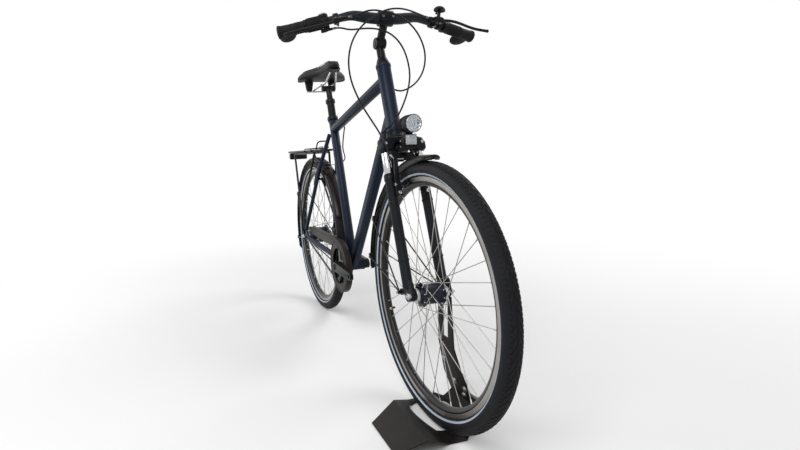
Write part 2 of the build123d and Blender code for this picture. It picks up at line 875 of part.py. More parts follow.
def frame_cables(near_axle):
    """The stretches behind the frame's tubes: to the rear brake and to the hub."""
    brake_end = at(stay_plane(), rear_brake_x + brake_arm_thickness / 2, -44.9, brake_boss_t + 97)
    upper = [
        *near_axle(
            [
                (396, 9, 841.5),
                (376, 12, 822),
                (347, 17, 793),
                (312, 26, 764),
                (277, 41, 743),
                (244, 57, 729),
                (216, 67, 717),
                (192, 69, 706),
                (177, 59, 697),
            ]
        ),
        brake_end,
    ]
    lower = near_axle(
        [
            (483.3, -12, 290.9),
            (471, -13, 273),
            (449, -16, 262),
            (415, -21, 262),
            (374, -28, 272),
            (330, -36, 286),
            (280, -43, 300),
            (228, -49, 311),
            (175, -55, 318),
            (124, -60, 325),
            (80, -61.5, 332),
            (50, -62, 342),
            (23.5, -62, 349.4),
        ]
    )
    made = []
    for name, route in (("rear_brake_end", upper), ("gear_end", lower)):
        made.append(cable(name, route, cable_radius))
    save("frame_cables", *made)


# ---------------------------------------------------------------- frame
def head_point(z):
    """Point on the steering axis a distance above the head tube's low end."""
    return at(steer, 0, 0, head_tube_low + z)


def frame():
    length = head_tube_high - head_tube_low
    tube = Pos(0, 0, head_tube_low) * Cylinder(head_tube_top_radius, length, align=LOW)
    low_cup = Pos(0, 0, head_tube_low) * Cylinder(head_tube_low_radius, 16, align=LOW)
    flare = Pos(0, 0, head_tube_low + 16) * Cone(
        head_tube_low_radius, head_tube_top_radius, 22, align=LOW
    )
    top_ring = Pos(0, 0, head_tube_high - 10) * Cylinder(head_tube_top_radius + 1.5, 10, align=LOW)
    bore = Pos(0, 0, head_tube_low - 1) * Cylinder(head_tube_bore, length + 2, align=LOW)
    outside = tube + low_cup + flare + top_ring
    save("head_tube", steer * (outside - bore))
    head_solid = steer * outside

    seat_outer = Cylinder(seat_tube_radius, seat_tube_length, align=LOW)
    seat_bore = Pos(0, 0, 120) * Cylinder(seat_tube_bore, seat_tube_length, align=LOW)
    shell_cut = Rot(90, 0, 0) * Cylinder(shell_radius, 200)
    seat_solid = seat * seat_outer
    save("seat_tube", seat * (seat_outer - seat_bore - shell_cut))

    shell = Pos(rear_x + crank_ahead, 0, crank_height) * (
        Rot(90, 0, 0) * (Cylinder(shell_radius, 2 * shell_half_width))
    )
    shell_hole = Pos(rear_x + crank_ahead, 0, crank_height) * (
        Rot(90, 0, 0) * (Cylinder(shell_bore, 4 * shell_half_width))
    )
    cups = Pos(rear_x + crank_ahead, 0, crank_height) * (
        Rot(90, 0, 0) * Cylinder(shell_radius + 1.5, 2 * (shell_half_width + cup_width))
    ) - Pos(rear_x + crank_ahead, 0, crank_height) * Box(80, 2 * shell_half_width, 80)
    save("bottom_bracket", shell + cups - shell_hole)

    top_a = head_point(top_tube_front_z)
    top_b = at(seat, 0, 0, top_tube_rear_t)
    top = bar(top_a, top_b, top_tube_radius)
    save("top_tube", top - head_solid - seat_solid)

    down_a = head_point(down_tube_front_z)
    down_b = Vector(rear_x + crank_ahead, 0, crank_height)
    run = down_b - down_a
    plane = Plane(origin=down_a, x_dir=(0, 1, 0), z_dir=run)
    section = plane * RectangleRounded(down_tube_width, down_tube_depth, down_tube_corner)
    down = extrude(section, run.length)
    shell_solid = shell
    down = down - head_solid - shell_solid - seat_solid - top
    down = down.solids().sort_by(SortBy.VOLUME)[-1]
    for distance in (0, bottle_spacing):
        place = Pos(0, bottle_depth - down_tube_depth / 2, bottle_from_head + distance)
        down -= plane * place * (Rot(90, 0, 0) * Cylinder(bottle_thread / 2, 20, align=LOW))
    save("down_tube", down)

    rear_triangle(shell_solid, seat_solid, down)


dropout_y = rear_spacing / 2
dropout_far = rear_spacing / 2 + dropout_thickness


def seatstay_foot(side):
    return Vector(rear_x + 8, side * (dropout_y + 3), wheel_radius + 33)


def seatstay_top(side):
    return at(seat, -seat_tube_radius - 5, side * 16, seatstay_t)


def rear_triangle(shell_solid, seat_solid, down):
    stays, seatstays = [], []
    for side in (1, -1):
        drop_mid = side * (dropout_y + dropout_thickness / 2)
        points = [
            (rear_x + crank_ahead - 8, side * 23, crank_height),
            (rear_x + crank_ahead - 102, side * 31.3, crank_height + 11),
            (rear_x + 60, side * (dropout_y + 3), wheel_radius - 4),
            (rear_x + 24, side * (dropout_y + 3), wheel_radius + 1),
        ]
        path = FilletPolyline(*points, radius=[60, 90])
        start = Plane(origin=path @ 0, x_dir=(0, 0, 1), z_dir=path % 0)
        stay = sweep(start * Ellipse(chainstay_height / 2, chainstay_width / 2), path)
        inner_trim = Pos(rear_x + 40, side * (dropout_y - 20), wheel_radius) * Box(70, 40, 60)
        plate = Pos(rear_x, drop_mid, wheel_radius + 8) * Box(62, dropout_thickness, 50)
        plate = chamfer(plate.edges().filter_by(Axis.Y), 12)
        rack_lug = Pos(rear_x - 26, drop_mid, wheel_radius + 20) * (
            Rot(90, 0, 0) * Cylinder(9, dropout_thickness)
        )
        hole = Pos(rear_x, drop_mid, wheel_radius) * (
            Rot(90, 0, 0) * Cylinder(axle_radius + axle_gap, 40)
        )
        outer_trim = Pos(rear_x + 10, side * (dropout_far + 25), wheel_radius) * Box(80, 50, 80)
        body = (stay - inner_trim - outer_trim) + plate + rack_lug - hole - shell_solid - down
        stays.append(body.solids().sort_by(SortBy.VOLUME)[-1])

        low, high = seatstay_foot(side), seatstay_top(side)
        mid = (rear_x + 195, side * 43, wheel_radius + 0.705 * (high.Z - wheel_radius))
        upper = bent([low, mid, high], [300], seatstay_radius)
        boss = stay_plane() * Pos(10, side * brake_stay_y, brake_boss_t) * (
            Rot(0, 90, 0) * Cylinder(6, rear_brake_x - 10, align=LOW)
        )
        upper = upper + boss - body - seat_solid
        seatstays.append(upper.solids().sort_by(SortBy.VOLUME)[-1])
    save("chainstays", *stays)
    save("seatstays", *seatstays)


def seatstay_pair():
    """Both seatstays with a little room round them, to trim what butts against them."""
    pair = [
        bar(
            (rear_x + 195, side * 43, wheel_radius + 0.705 * (seatstay_top(side).Z - wheel_radius)),
            seatstay_top(side),
            seatstay_radius + 0.2,
        )
        for side in (1, -1)
    ]
    return pair[0] + pair[1]


# ---------------------------------------------------------------- seat
def seat_post():
    clamp = Pos(0, 0, seat_tube_length - 5) * Cylinder(seat_tube_radius + 4, 15, align=LOW)
    clamp += Pos(-seat_tube_radius - 5, 0, seat_tube_length + 2.5) * Box(16, 22, 13)
    clamp -= Pos(0, 0, seat_tube_length - 40) * Cylinder(seat_tube_radius + 0.05, 40, align=LOW)
    clamp -= Pos(0, 0, seat_tube_length) * Cylinder(post_radius + 0.1, 40, align=LOW)
    clamp -= Pos(-seat_tube_radius - 8, 0, seat_tube_length) * Box(20, 2, 60)
    save("seat_clamp", seat * clamp)
    lower_start = seat_tube_length - 90
    lower = Pos(0, 0, lower_start) * Cylinder(post_radius, post_collar_t - lower_start, align=LOW)
    collar = Pos(0, 0, post_collar_t - 14) * Cylinder(post_radius + 4, 14, align=LOW)
    save("seatpost_lower", seat * (lower + collar))
    upper = Pos(0, 0, post_collar_t) * Cylinder(
        post_upper_radius, post_top_t - post_collar_t, align=LOW
    )
    cradle_t = post_top_t
    cradle = Pos(0, 0, cradle_t) * (Rot(90, 0, 0) * Cylinder(11, 56))
    save("seatpost_upper", seat * (upper + cradle))


def saddle():
    """Wide, padded saddle; its plan narrows from the wings to the nose."""
    top = at(seat, 0, 0, post_top_t)
    nose_x = rear_x + 338.0
    back_x = nose_x - saddle_length
    wing = saddle_width / 2
    nose = saddle_nose_width / 2
    left = Spline(
        (back_x, 0),
        (back_x + 6, wing * 0.55),
        (back_x + 30, wing * 0.9),
        (back_x + 66, wing),
        (back_x + 104, wing * 0.8),
        (back_x + 138, wing * 0.5),
        (nose_x - 80, nose * 1.12),
        (nose_x - 34, nose),
        (nose_x - 9, nose * 0.66),
        (nose_x, 0),
    )
    plan = make_face([left, mirror(left, about=Plane.XZ)])
    block = Pos(0, 0, saddle_under - 10) * extrude(plan, 70)
    side = Spline(
        (back_x - 5, saddle_top - 12),
        (back_x + 50, saddle_top),
        (back_x + 130, saddle_top - 3),
        (nose_x - 40, saddle_top + 2),
        (nose_x + 5, saddle_top - 8),
    )
    under = Spline(
        (back_x - 5, saddle_under + 2),
        (back_x + 70, saddle_under),
        (back_x + 150, saddle_under + 12),
        (nose_x + 5, saddle_under + 8),
    )
    outline = [side, under, Line(side @ 0, under @ 0), Line(side @ 1, under @ 1)]
    profile = extrude(Plane.XZ * make_face(outline), 200, both=True)
    shape = block & profile
    save("saddle", shape)
    rail_z = top.Z + 11 + 3.5 + 0.3
    rails = []
    for s in (1, -1):
        points = [
            (back_x + 46, s * 34, spring_foot + 2),
            (back_x + 92, s * 22, rail_z),
            (top.X + 28, s * 22, rail_z),
            (nose_x - 28, s * 12, saddle_under + 4),
        ]
        rails.append(bent(points, [40, 40], 3.5))
    plate = Pos(back_x + 46, 0, spring_foot - 2) * Box(20, 2 * spring_y, 4)
    save("saddle_rails", rails[0] + rails[1] + plate)
    springs = []
    for s in (1, -1):
        springs.append(
            Pos(back_x + 46, s * (spring_y - 10), spring_foot) * Cylinder(
                spring_radius, spring_high - spring_foot, align=LOW
            )
        )
    save("saddle_springs", *[spring - shape - rails[0] - rails[1] for spring in springs])


# ---------------------------------------------------------------- rack and lamp
rack_bar_radius = 4.0
rack_leg_y = 80.0
rack_taper = 0.55  # width of the front end over that of the back


def rack_reach(x):
    """Half width of the carrier at a distance along the bicycle."""
    front, back = rear_x + rack_front, rear_x + rack_back
    share = rack_taper + (1 - rack_taper) * (front - x) / (front - back)
    return rack_half_width * share


def rack():
    front, back, half, z = rear_x + rack_front, rear_x + rack_back, rack_half_width, rack_height
    loop = FilletPolyline(
        (front, -rack_reach(front), z),
        (back, -half, z),
        (back, half, z),
        (front, rack_reach(front), z),
        radius=22,
        close=True,
    )
    top = sweep(Plane(origin=loop @ 0, z_dir=loop % 0) * Circle(rack_tube_radius), loop)
    for x in (front - 70, front - 190, front - 310, back + 90):
        reach = rack_reach(x)
        top += bar((x, -reach, z), (x, reach, z), rack_bar_radius)
    top += Pos((front + back) / 2 - 8, 0, z) * Box(front - back - 60, 24, 6)
    for side in (1, -1):
        top += bar((front - 22, side * 30, z), (rear_x + 236, side * 36, z + 3), 4)
    hoop = [
        (front - 70, -24, z),
        (front - 36, -24, z + 40),
        (front - 36, 24, z + 40),
        (front - 70, 24, z),
    ]
    top += bent(hoop, [16, 16], 3)
    save("rack_top", top - seatstay_pair())

    sides = []
    foot_x, foot_z = rear_x - 26, wheel_radius + 20
    head_front, head_back = front - 60, back + 130
    rail_z = z - 10
    for s in (1, -1):
        foot = (foot_x, s * rack_leg_y, foot_z)
        knee = (foot_x, s * rack_leg_y, foot_z + 70)
        leg = bent([(head_front, s * rack_reach(head_front), rail_z), knee, foot], [120], rack_tube_radius)
        back_leg = bar((head_back, s * rack_reach(head_back), rail_z), knee, rack_tube_radius)
        upper = bar(
            (head_front, s * rack_reach(head_front), rail_z),
            (head_back, s * rack_reach(head_back), rail_z),
            rack_tube_radius,
        )
        tab = Pos(foot_x, s * (dropout_far + 3), foot_z) * Box(16, 6, 24)
        sides.append(leg + back_leg + upper + tab)
    save("rack_sides", *sides)


def rear_lamp():
    back = rear_x - rear_overhang
    low = 718.0
    high = rack_height - rack_tube_radius - 0.2
    housing = Pos(back + 21, 0, low) * Box(30, 92, high - low, align=LOW)
    housing = fillet(housing.edges().filter_by(Axis.X), 8)
    save("rear_light", housing)
    lens = Pos(back + 3, 0, 720) * Box(6, 84, 30, align=LOW)
    lens = fillet(lens.edges().filter_by(Axis.X), 7)
    save("rear_light_lens", lens)


# ---------------------------------------------------------------- chain case and cranks
def side_plate(y):
    """Plane facing the right side, x forward and y up, with z running outwards."""
    return Plane(origin=(0, -y, 0), x_dir=(1, 0, 0), z_dir=(0, -1, 0))


def chain_case():
    """Disc over the chainring with a cover along the upper run of the chain."""
    cx, cz = rear_x + crank_ahead, crank_height
    run_top = cz + case_radius
    run_low = run_top - case_run_height
    run_end = rear_x + case_run_end

    def outline(shrink):
        disc = Pos(cx, cz) * Circle(case_radius - shrink)
        low = Pos((cx + run_end) / 2, (run_top + run_low) / 2) * Rectangle(
            cx - run_end, case_run_height - 2 * shrink
        )
        tip = Pos(run_end, (run_top + run_low) / 2) * Circle(case_run_height / 2 - shrink)
        return disc + low + tip

    plate = side_plate(case_inner_y)
    shell = plate * extrude(outline(0), case_depth)
    inside = plate * Pos(0, 0, case_wall) * extrude(outline(case_wall), case_depth - 2 * case_wall)
    window = plate * Pos(cx, cz, case_depth / 2) * Cylinder(case_window, case_depth, align=LOW)
    spindle_hole = plate * Pos(cx, cz, -1) * Cylinder(shell_bore + 4, case_depth, align=LOW)
    low_mouth = plate * Pos((cx + run_end) / 2 - 70, run_low, case_depth / 2) * Box(
        cx - run_end - 140, 12, case_depth - 2 * case_wall
    )
    end_mouth = plate * Pos(run_end - 20, (run_top + run_low) / 2, case_depth / 2) * Box(
        40, case_run_height - 12, case_depth - 2 * case_wall
    )
    exit_low = plate * Pos(cx - 66, cz - 78, case_depth / 2) * (
        Rot(0, 0, -12) * Box(56, 20, case_depth - 2 * case_wall)
    )
    return shell - inside - window - spindle_hole - low_mouth - end_mouth - exit_low


def chain():
    """One fixed loop round the chainring and the sprocket."""
    a = (rear_x + crank_ahead, crank_height)
    b = (rear_x, wheel_radius)

    def loop(extra):
        return belt(a, chainring_radius + extra, b, sprocket_radius + extra)

    flat = loop(bearing_gap + chain_height) - loop(bearing_gap)
    return side_plate(chain_line - chain_width / 2) * extrude(flat, chain_width)


def belt(a, ra, b, rb):
    """Outline of a belt round two circles, filled."""
    dx, dy = b[0] - a[0], b[1] - a[1]
    tilt = math.atan2(dy, dx)
    lean = math.acos((ra - rb) / math.hypot(dx, dy))
    points = []
    for centre, radius, angle in (
        (a, ra, tilt + lean),
        (b, rb, tilt + lean),
        (b, rb, tilt - lean),
        (a, ra, tilt - lean),
    ):
        points.append(
            (centre[0] + radius * math.cos(angle), centre[1] + radius * math.sin(angle))
        )
    return make_face(Polyline(*points, close=True)) + Pos(*a) * Circle(ra) + Pos(*b) * Circle(rb)


def cranks():
    """Axle, two arms on its ends and the chainring with its spider."""
    plate = Plane(origin=(rear_x + crank_ahead, 0, crank_height), x_dir=(1, 0, 0), z_dir=(0, -1, 0))
    thick = crank_arm_thickness
    spindle_radius = shell_bore - 0.6
    right_end, left_end = crank_arm_right + thick - 2, crank_arm_left + thick - 2
    save("crank_axle", plate * Pos(0, 0, -left_end) * Cylinder(spindle_radius, left_end + right_end, align=LOW))

    arms = []
    for way, inner, flare, boss in (
        (1, crank_arm_right, 0.0, crank_boss_right),
        (-1, crank_arm_left, crank_flare_left, crank_boss_left),
    ):
        sides = make_face(
            Polyline(
                (0, crank_boss_radius),
                (way * crank_length, crank_tip_radius),
                (way * crank_length, -crank_tip_radius),
                (0, -crank_boss_radius),
                close=True,
            )
        )
        plan = sides + Circle(crank_boss_radius) + Pos(way * crank_length, 0) * Circle(crank_tip_radius)
        prism = plate * extrude(plan, 120, both=True)
        cx = rear_x + crank_ahead
        run = [
            (cx - way * 30, inner),
            (cx + way * 24, inner),
            (cx + way * (crank_length - 18), inner + flare),
            (cx + way * (crank_length + 30), inner + flare),
        ]
        edge = [(x, -way * y) for x, y in run]
        back = [(x, -way * (y + thick)) for x, y in reversed(run)]
        slab = extrude(make_face(Polyline(*edge, *back, close=True)), 200, both=True)
        slab = Pos(0, 0, crank_height) * slab
        arm = prism & slab
        hub = plate * Pos(0, 0, boss if way > 0 else -inner - thick)
        arm += hub * Cylinder(crank_boss_radius, inner + thick - boss, align=LOW)
        arm -= plate * Pos(way * crank_length, 0, -120) * Cylinder(pedal_thread / 2, 240, align=LOW)
        arm -= plate * Pos(0, 0, -left_end) * Cylinder(spindle_radius, left_end + right_end, align=LOW)
        arms.append(arm)
    save("crank_arms", *arms)

    ring_z = chain_line - 1.5
    spider = Cylinder(27, 5, align=LOW)
    for k in range(5):
        spider += Rot(0, 0, 72 * k + 36) * (Pos(42, 0, 2.5) * Box(66, 15, 5))
    ring = Cylinder(chainring_radius, 3, align=LOW) - Pos(0, 0, -1) * Cylinder(
        chainring_radius - 13, 5, align=LOW
    )
    ring = plate * Pos(0, 0, ring_z + 3) * spider + plate * Pos(0, 0, ring_z) * ring
    ring -= plate * Cylinder(spindle_radius, 200)
    save("chainring", ring)


# ---------------------------------------------------------------- display stand
def offset_line(points, distance):
    """The same polyline moved sideways, with mitred corners."""
    moved = []
    for i, p in enumerate(points):
        p = Vector(*p)
        before = (p - Vector(*points[i - 1])).normalized() if i else None
        after = (Vector(*points[i + 1]) - p).normalized() if i < len(points) - 1 else None
        before, after = before or after, after or before
        n1 = Vector(-before.Y, before.X)
        n2 = Vector(-after.Y, after.X)
        middle = (n1 + n2).normalized()
        moved.append(p + middle * (distance / middle.dot(n1)))
    return [(v.X, v.Y) for v in moved]


def stand():
    contact = front_x
    section = [
        (stand_foot_y, 0),
        (stand_ridge_y, stand_ridge_z - sheet),
        (stand_valley_y, 1),
        (-stand_valley_y, 1),
        (-stand_ridge_y, stand_ridge_z - sheet),
        (-stand_foot_y, 0),
    ]
    upper = offset_line(section, -sheet)
    across = Plane(origin=(contact, 0, 0), x_dir=(0, 1, 0), z_dir=(1, 0, 0))
    sheet_face = make_face(Polyline(*section, *reversed(upper), close=True))
    body = extrude(across * sheet_face, 240, both=True)
    body &= Pos(contact, 0, 0) * Box(600, 600, 200, align=LOW)
    rear_ridge, front_ridge = contact + stand_rear, contact + stand_front
    rear_valley, front_valley = contact - 102, contact + 131
    half = [
        (contact + arm_back, stand_foot_y + 10),
        (contact + arm_back, stand_ridge_y - 27),
        (contact + arm_back - 6, stand_valley_y + 35),
        (contact - 82, stand_valley_y + 26),
        (rear_valley, stand_valley_y),
        (rear_valley, -stand_valley_y),
        (rear_ridge, -stand_ridge_y),
        (rear_ridge, -stand_foot_y - 10),
        (front_ridge - 56, -stand_foot_y - 10),
        (front_ridge, -stand_ridge_y),
        (front_valley, -stand_valley_y),
        (front_valley, stand_valley_y),
        (contact + arm_front, stand_ridge_y),
        (contact + arm_front - 26, stand_foot_y + 10),
    ]
    plan = extrude(make_face(Polyline(*half, close=True)), 120)
    hole = Pos(contact - 2, 0, -1) * extrude(Ellipse(78, 58), 120)
    save("stand_base", (body & plan) - hole)

    ridge, valley = Vector(*upper[1]), Vector(*upper[2])
    inward = (valley - ridge).normalized()
    normal = Vector(inward.Y, -inward.X)
    normal = normal if normal.Y > 0 else normal * -1
    start = ridge + inward * 18 + normal * (arm_thickness / 2)
    end = ridge + inward * 54 + normal * (arm_thickness / 2)
    middle = [(arm_y, arm_top_z + 20), (arm_y, arm_kink_z), (start.X, start.Y), (end.X, end.Y)]
    left = offset_line(middle, arm_thickness / 2)
    right = offset_line(middle, -arm_thickness / 2)
    strip = extrude(across * make_face(Polyline(*left, *reversed(right), close=True)), 200, both=True)
    slot_half = stand_slot_width / 2
    outline = [
        (contact - 36, arm_top_z),
        (contact - 38, arm_kink_z - 4),
        (contact - 58, 104),
        (contact + arm_back, 42),
        (contact + arm_back, 0),
        (contact + arm_front - 4, 0),
        (contact + arm_front - 4, stand_ridge_z - 8),
        (contact + 46, 140),
        (contact + 40, arm_kink_z + 6),
        (contact + 29, arm_top_z),
        (contact + slot_half, arm_top_z),
        (contact + slot_half, 228),
        (contact - slot_half, 228),
        (contact - slot_half, arm_top_z),
    ]
    side = extrude(Plane.XZ * make_face(Polyline(*outline, close=True)), -300)
    save("stand_arm", strip & side)


front_wheel()
rear_wheel()
axles()
fork()
crown()
stem()
grips()
save("handlebar", handlebar())
shifter()
levers()
bell()
front_fender()
rear_fender()
lamp()
brakes()
frame()
seat_post()
saddle()
rack()
rear_lamp()
save("chain_case", chain_case())
save("chain", chain())
cranks()
cables()
stand()
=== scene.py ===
# %% [markdown]
# # A trekking bicycle in its display stand
# The bicycle arrives as a fixed frame of plain parts at their true sizes. This lesson gives each part its real
# shape and surface. Nearly every finished piece rides on the body it belongs to, so that the steering, the wheels
# and the cranks still turn; the gear cable and the rear brake's cable are made in place and ride on no body.
# %% Load the frame
import math
import bpy
from mathutils import Matrix, Vector


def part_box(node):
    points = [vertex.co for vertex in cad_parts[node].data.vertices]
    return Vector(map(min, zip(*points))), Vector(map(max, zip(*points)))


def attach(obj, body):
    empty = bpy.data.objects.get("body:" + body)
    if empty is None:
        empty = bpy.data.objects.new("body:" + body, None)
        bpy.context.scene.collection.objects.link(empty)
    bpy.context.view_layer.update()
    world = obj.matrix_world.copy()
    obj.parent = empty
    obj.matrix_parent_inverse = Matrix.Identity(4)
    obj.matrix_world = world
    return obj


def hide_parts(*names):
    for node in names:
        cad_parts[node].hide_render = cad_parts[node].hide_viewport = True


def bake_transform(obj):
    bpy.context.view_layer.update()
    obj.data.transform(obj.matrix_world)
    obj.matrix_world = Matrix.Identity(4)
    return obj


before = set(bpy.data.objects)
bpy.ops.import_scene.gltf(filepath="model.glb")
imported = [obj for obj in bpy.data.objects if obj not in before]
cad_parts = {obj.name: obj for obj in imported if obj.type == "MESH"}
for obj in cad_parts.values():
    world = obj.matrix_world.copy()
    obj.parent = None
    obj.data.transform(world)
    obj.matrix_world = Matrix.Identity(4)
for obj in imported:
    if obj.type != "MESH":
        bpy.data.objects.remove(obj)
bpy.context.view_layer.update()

front_axle = sum(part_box("front_tyre"), Vector()) / 2
rear_axle = sum(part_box("rear_tyre"), Vector()) / 2
print("front axle", tuple(front_axle), "rear axle", tuple(rear_axle))

# %% [markdown]
# A bicycle is built along a few slanted lines. The steering axis leans back 19 degrees, and the seat tube leans
# about as much. It is easier to work in the frame of each line, with Z up the line, and to place the finished
# shape with one matrix than to work out slanted positions by hand.
# %% Frames of the steering axis, the seat tube and the wheels
head_angle, seat_angle, fork_offset = math.radians(71.0), math.radians(72.1), 0.045
crank_axle = sum(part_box("crank_axle"), Vector()) / 2
crank_axle.y = 0


def leaning(angle, foot):
    """A frame at foot with X forward, Y left and Z up a line that leans back."""
    across = Vector((math.sin(angle), 0, math.cos(angle)))
    along = Vector((-math.cos(angle), 0, math.sin(angle)))
    turned = Matrix((across, Vector((0, 1, 0)), along)).transposed().to_4x4()
    return Matrix.Translation(foot) @ turned


steer = leaning(head_angle, Vector((
    front_axle.x - fork_offset * math.sin(head_angle), 0,
    front_axle.z - fork_offset * math.cos(head_angle))))
seat = leaning(seat_angle, crank_axle)
lathe_turn = Matrix.Rotation(math.radians(-90), 4, "X")  # puts local Z along +Y
origin = Matrix.Identity(4)
front_hub_frame = Matrix.Translation(front_axle) @ lathe_turn
rear_hub_frame = Matrix.Translation(rear_axle) @ lathe_turn
print("steering frame at", tuple(steer.translation))

# %% [markdown]
# Blender's operators act on whatever is selected, so each helper first deselects everything. The helpers below
# do the moves of hand modelling: select one object, edit it, apply its modifiers, and put its place into its
# mesh so that the object itself stays at the origin.
# %% Helpers for selecting and applying
def only(*objs):
    """Selects these objects alone; the first one is active."""
    if bpy.context.object and bpy.context.object.mode != "OBJECT":
        bpy.ops.object.mode_set(mode="OBJECT")
    bpy.ops.object.select_all(action="DESELECT")
    for obj in objs:
        obj.select_set(True)
    bpy.context.view_layer.objects.active = objs[0]
    return objs[0]


def settle(obj, place=None):
    """Puts an object's place, and a further one, into its mesh."""
    if place is not None:
        obj.matrix_world = place @ obj.matrix_world
    only(obj)
    bpy.ops.object.transform_apply(location=True, rotation=True, scale=True)
    return obj


def modify(obj, kind, **values):
    """Adds one modifier and applies it."""
    only(obj)
    modifier = obj.modifiers.new(kind.lower(), kind)
    for key, value in values.items():
        setattr(modifier, key, value)
    bpy.ops.object.modifier_apply(modifier=modifier.name)
    return obj


def soften(obj, width, segments=2, angle=35):
    """Rounds the sharp edges and smooths the shading between them."""
    modify(obj, "BEVEL", width=width, segments=segments, limit_method="ANGLE",
           angle_limit=math.radians(angle), use_clamp_overlap=True, harden_normals=False)
    return smooth(obj)


def smooth(obj, angle=38):
    only(obj)
    bpy.ops.object.shade_smooth_by_angle(angle=math.radians(angle))
    return obj


def joined(name, *objs):
    """Joins pieces of one part into the first of them."""
    only(*objs)
    if len(objs) > 1:
        bpy.ops.object.join()
    objs[0].name = name
    return objs[0]


def outward(obj):
    """Merges doubled corners and turns every face outwards."""
    only(obj)
    bpy.ops.object.mode_set(mode="EDIT")
    bpy.ops.mesh.select_all(action="SELECT")
    bpy.ops.mesh.remove_doubles(threshold=2e-6)
    bpy.ops.mesh.normals_make_consistent(inside=False)
    bpy.ops.object.mode_set(mode="OBJECT")
    return obj


# %% [markdown]
# Most parts of a bicycle are turned on a lathe, cut from plate or bent from tube. A turned part is drawn here
# as one corner, extruded from place to place along its outline and spun about Z. A plate is an outline filled
# and extruded. A bent tube is a smooth curve with a round section, made a mesh.
# %% Helpers for turned parts, plates, bars and tubes
def corner():
    """One vertex at the origin, ready to be extruded, in edit mode."""
    bpy.ops.object.select_all(action="DESELECT")
    bpy.ops.mesh.primitive_plane_add(size=0.002, location=(0, 0, 0))
    obj = bpy.context.object
    bpy.ops.object.mode_set(mode="EDIT")
    bpy.ops.mesh.select_all(action="SELECT")
    bpy.ops.mesh.merge(type="CENTER")
    return obj


def draw(points):
    """Extrudes the selected corner along a line of points."""
    bpy.ops.transform.translate(value=points[0])
    for a, b in zip(points, points[1:]):
        move = tuple(q - p for p, q in zip(a, b))
        bpy.ops.mesh.extrude_region_move(TRANSFORM_OT_translate={"value": move})


def turned(name, profile, place, steps=48):
    """Spins an outline of (radius, height) corners about Z."""
    obj = corner()
    draw([(r, 0, z) for r, z in profile])
    bpy.ops.mesh.select_all(action="SELECT")
    bpy.ops.mesh.spin(steps=steps, angle=2 * math.pi, center=(0, 0, 0), axis=(0, 0, 1))
    bpy.ops.mesh.select_all(action="SELECT")
    bpy.ops.mesh.remove_doubles(threshold=2e-6)
    bpy.ops.mesh.normals_make_consistent(inside=False)
    bpy.ops.object.mode_set(mode="OBJECT")
    obj.name = name
    return settle(obj, place)


def plate(name, outline, thickness, place):
    """Fills an outline of (x, y) corners and extrudes it along Z."""
    obj = corner()
    draw([(x, y, 0) for x, y in outline])
    bpy.ops.mesh.select_all(action="SELECT")
    bpy.ops.mesh.edge_face_add()
    bpy.ops.mesh.extrude_region_move(TRANSFORM_OT_translate={"value": (0, 0, thickness)})
    bpy.ops.mesh.select_all(action="SELECT")
    bpy.ops.mesh.normals_make_consistent(inside=False)
    bpy.ops.object.mode_set(mode="OBJECT")
    obj.name = name
    return settle(obj, place)


def pointing(start, end):
    """A frame at start with Z towards end."""
    along = Vector(end) - Vector(start)
    return Matrix.Translation(start) @ along.to_track_quat("Z", "Y").to_matrix().to_4x4()


def rod(name, start, end, radius, end_radius=None, corners=24):
    """A round bar between two points, tapered when an end radius is given."""
    length = (Vector(end) - Vector(start)).length
    bpy.ops.object.select_all(action="DESELECT")
    bpy.ops.mesh.primitive_cone_add(
        vertices=corners, radius1=radius, radius2=radius if end_radius is None else end_radius,
        depth=length, location=(0, 0, length / 2))
    obj = bpy.context.object
    obj.name = name
    return settle(obj, pointing(start, end))


def block(name, size, place, width=0.0):
    """A box of that size with rounded edges."""
    bpy.ops.object.select_all(action="DESELECT")
    bpy.ops.mesh.primitive_cube_add(size=1, location=(0, 0, 0), scale=size)
    obj = bpy.context.object
    obj.name = name
    settle(obj, place)
    return soften(obj, width) if width else obj


def hose(name, points, radius, corners=6, cyclic=False):
    """A round tube along a smooth line through points, as a closed mesh."""
    curve = bpy.data.curves.new(name, "CURVE")
    curve.dimensions = "3D"
    curve.bevel_depth, curve.bevel_resolution, curve.use_fill_caps = radius, corners, True
    curve.resolution_u = 10
    spline = curve.splines.new("NURBS")
    spline.points.add(len(points) - 1)
    for knot, point in zip(spline.points, points):
        knot.co = (*point, 1)
    spline.use_cyclic_u = cyclic
    spline.use_endpoint_u = not cyclic
    spline.order_u = 3
    obj = bpy.data.objects.new(name, curve)
    bpy.context.scene.collection.objects.link(obj)
    only(obj)
    bpy.ops.object.convert(target="MESH")
    return smooth(outward(bpy.context.object), 60)


def copies(obj, places):
    """Copies of a piece at further places, each with its own mesh."""
    made = [obj]
    for place in places:
        twin = obj.copy()
        twin.data = obj.data.copy()
        bpy.context.scene.collection.objects.link(twin)
        made.append(settle(twin, place))
    return made


def skinned(name, rings, backward=False):
    """A closed skin over rings of as many points each; the first end's face may run backward."""
    count, last = len(rings[0]), len(rings) - 1
    faces = []
    for k in range(last):
        for j in range(count):
            near, far = k * count + j, k * count + (j + 1) % count
            faces.append((near, far, far + count, near + count))
    first_end = tuple(reversed(range(count))) if backward else tuple(range(count))
    faces += [first_end, tuple(last * count + j for j in range(count))]
    mesh = bpy.data.meshes.new(name)
    mesh.from_pydata([point for ring in rings for point in ring], [], faces)
    obj = bpy.data.objects.new(name, mesh)
    bpy.context.scene.collection.objects.link(obj)
    return outward(obj)


def about(centre, degrees, axis=(0, 1, 0)):
    """A turn about a line through centre."""
    shift = Matrix.Translation(centre)
    return shift @ Matrix.Rotation(math.radians(degrees), 4, Vector(axis)) @ shift.inverted()


def ring_of(name, obj, count, centre, axis=(0, 1, 0)):
    """Copies a piece evenly round a line and joins the whole ring."""
    twins = copies(obj, [about(centre, 360 / count * k, axis) for k in range(1, count)])
    return joined(name, *twins)


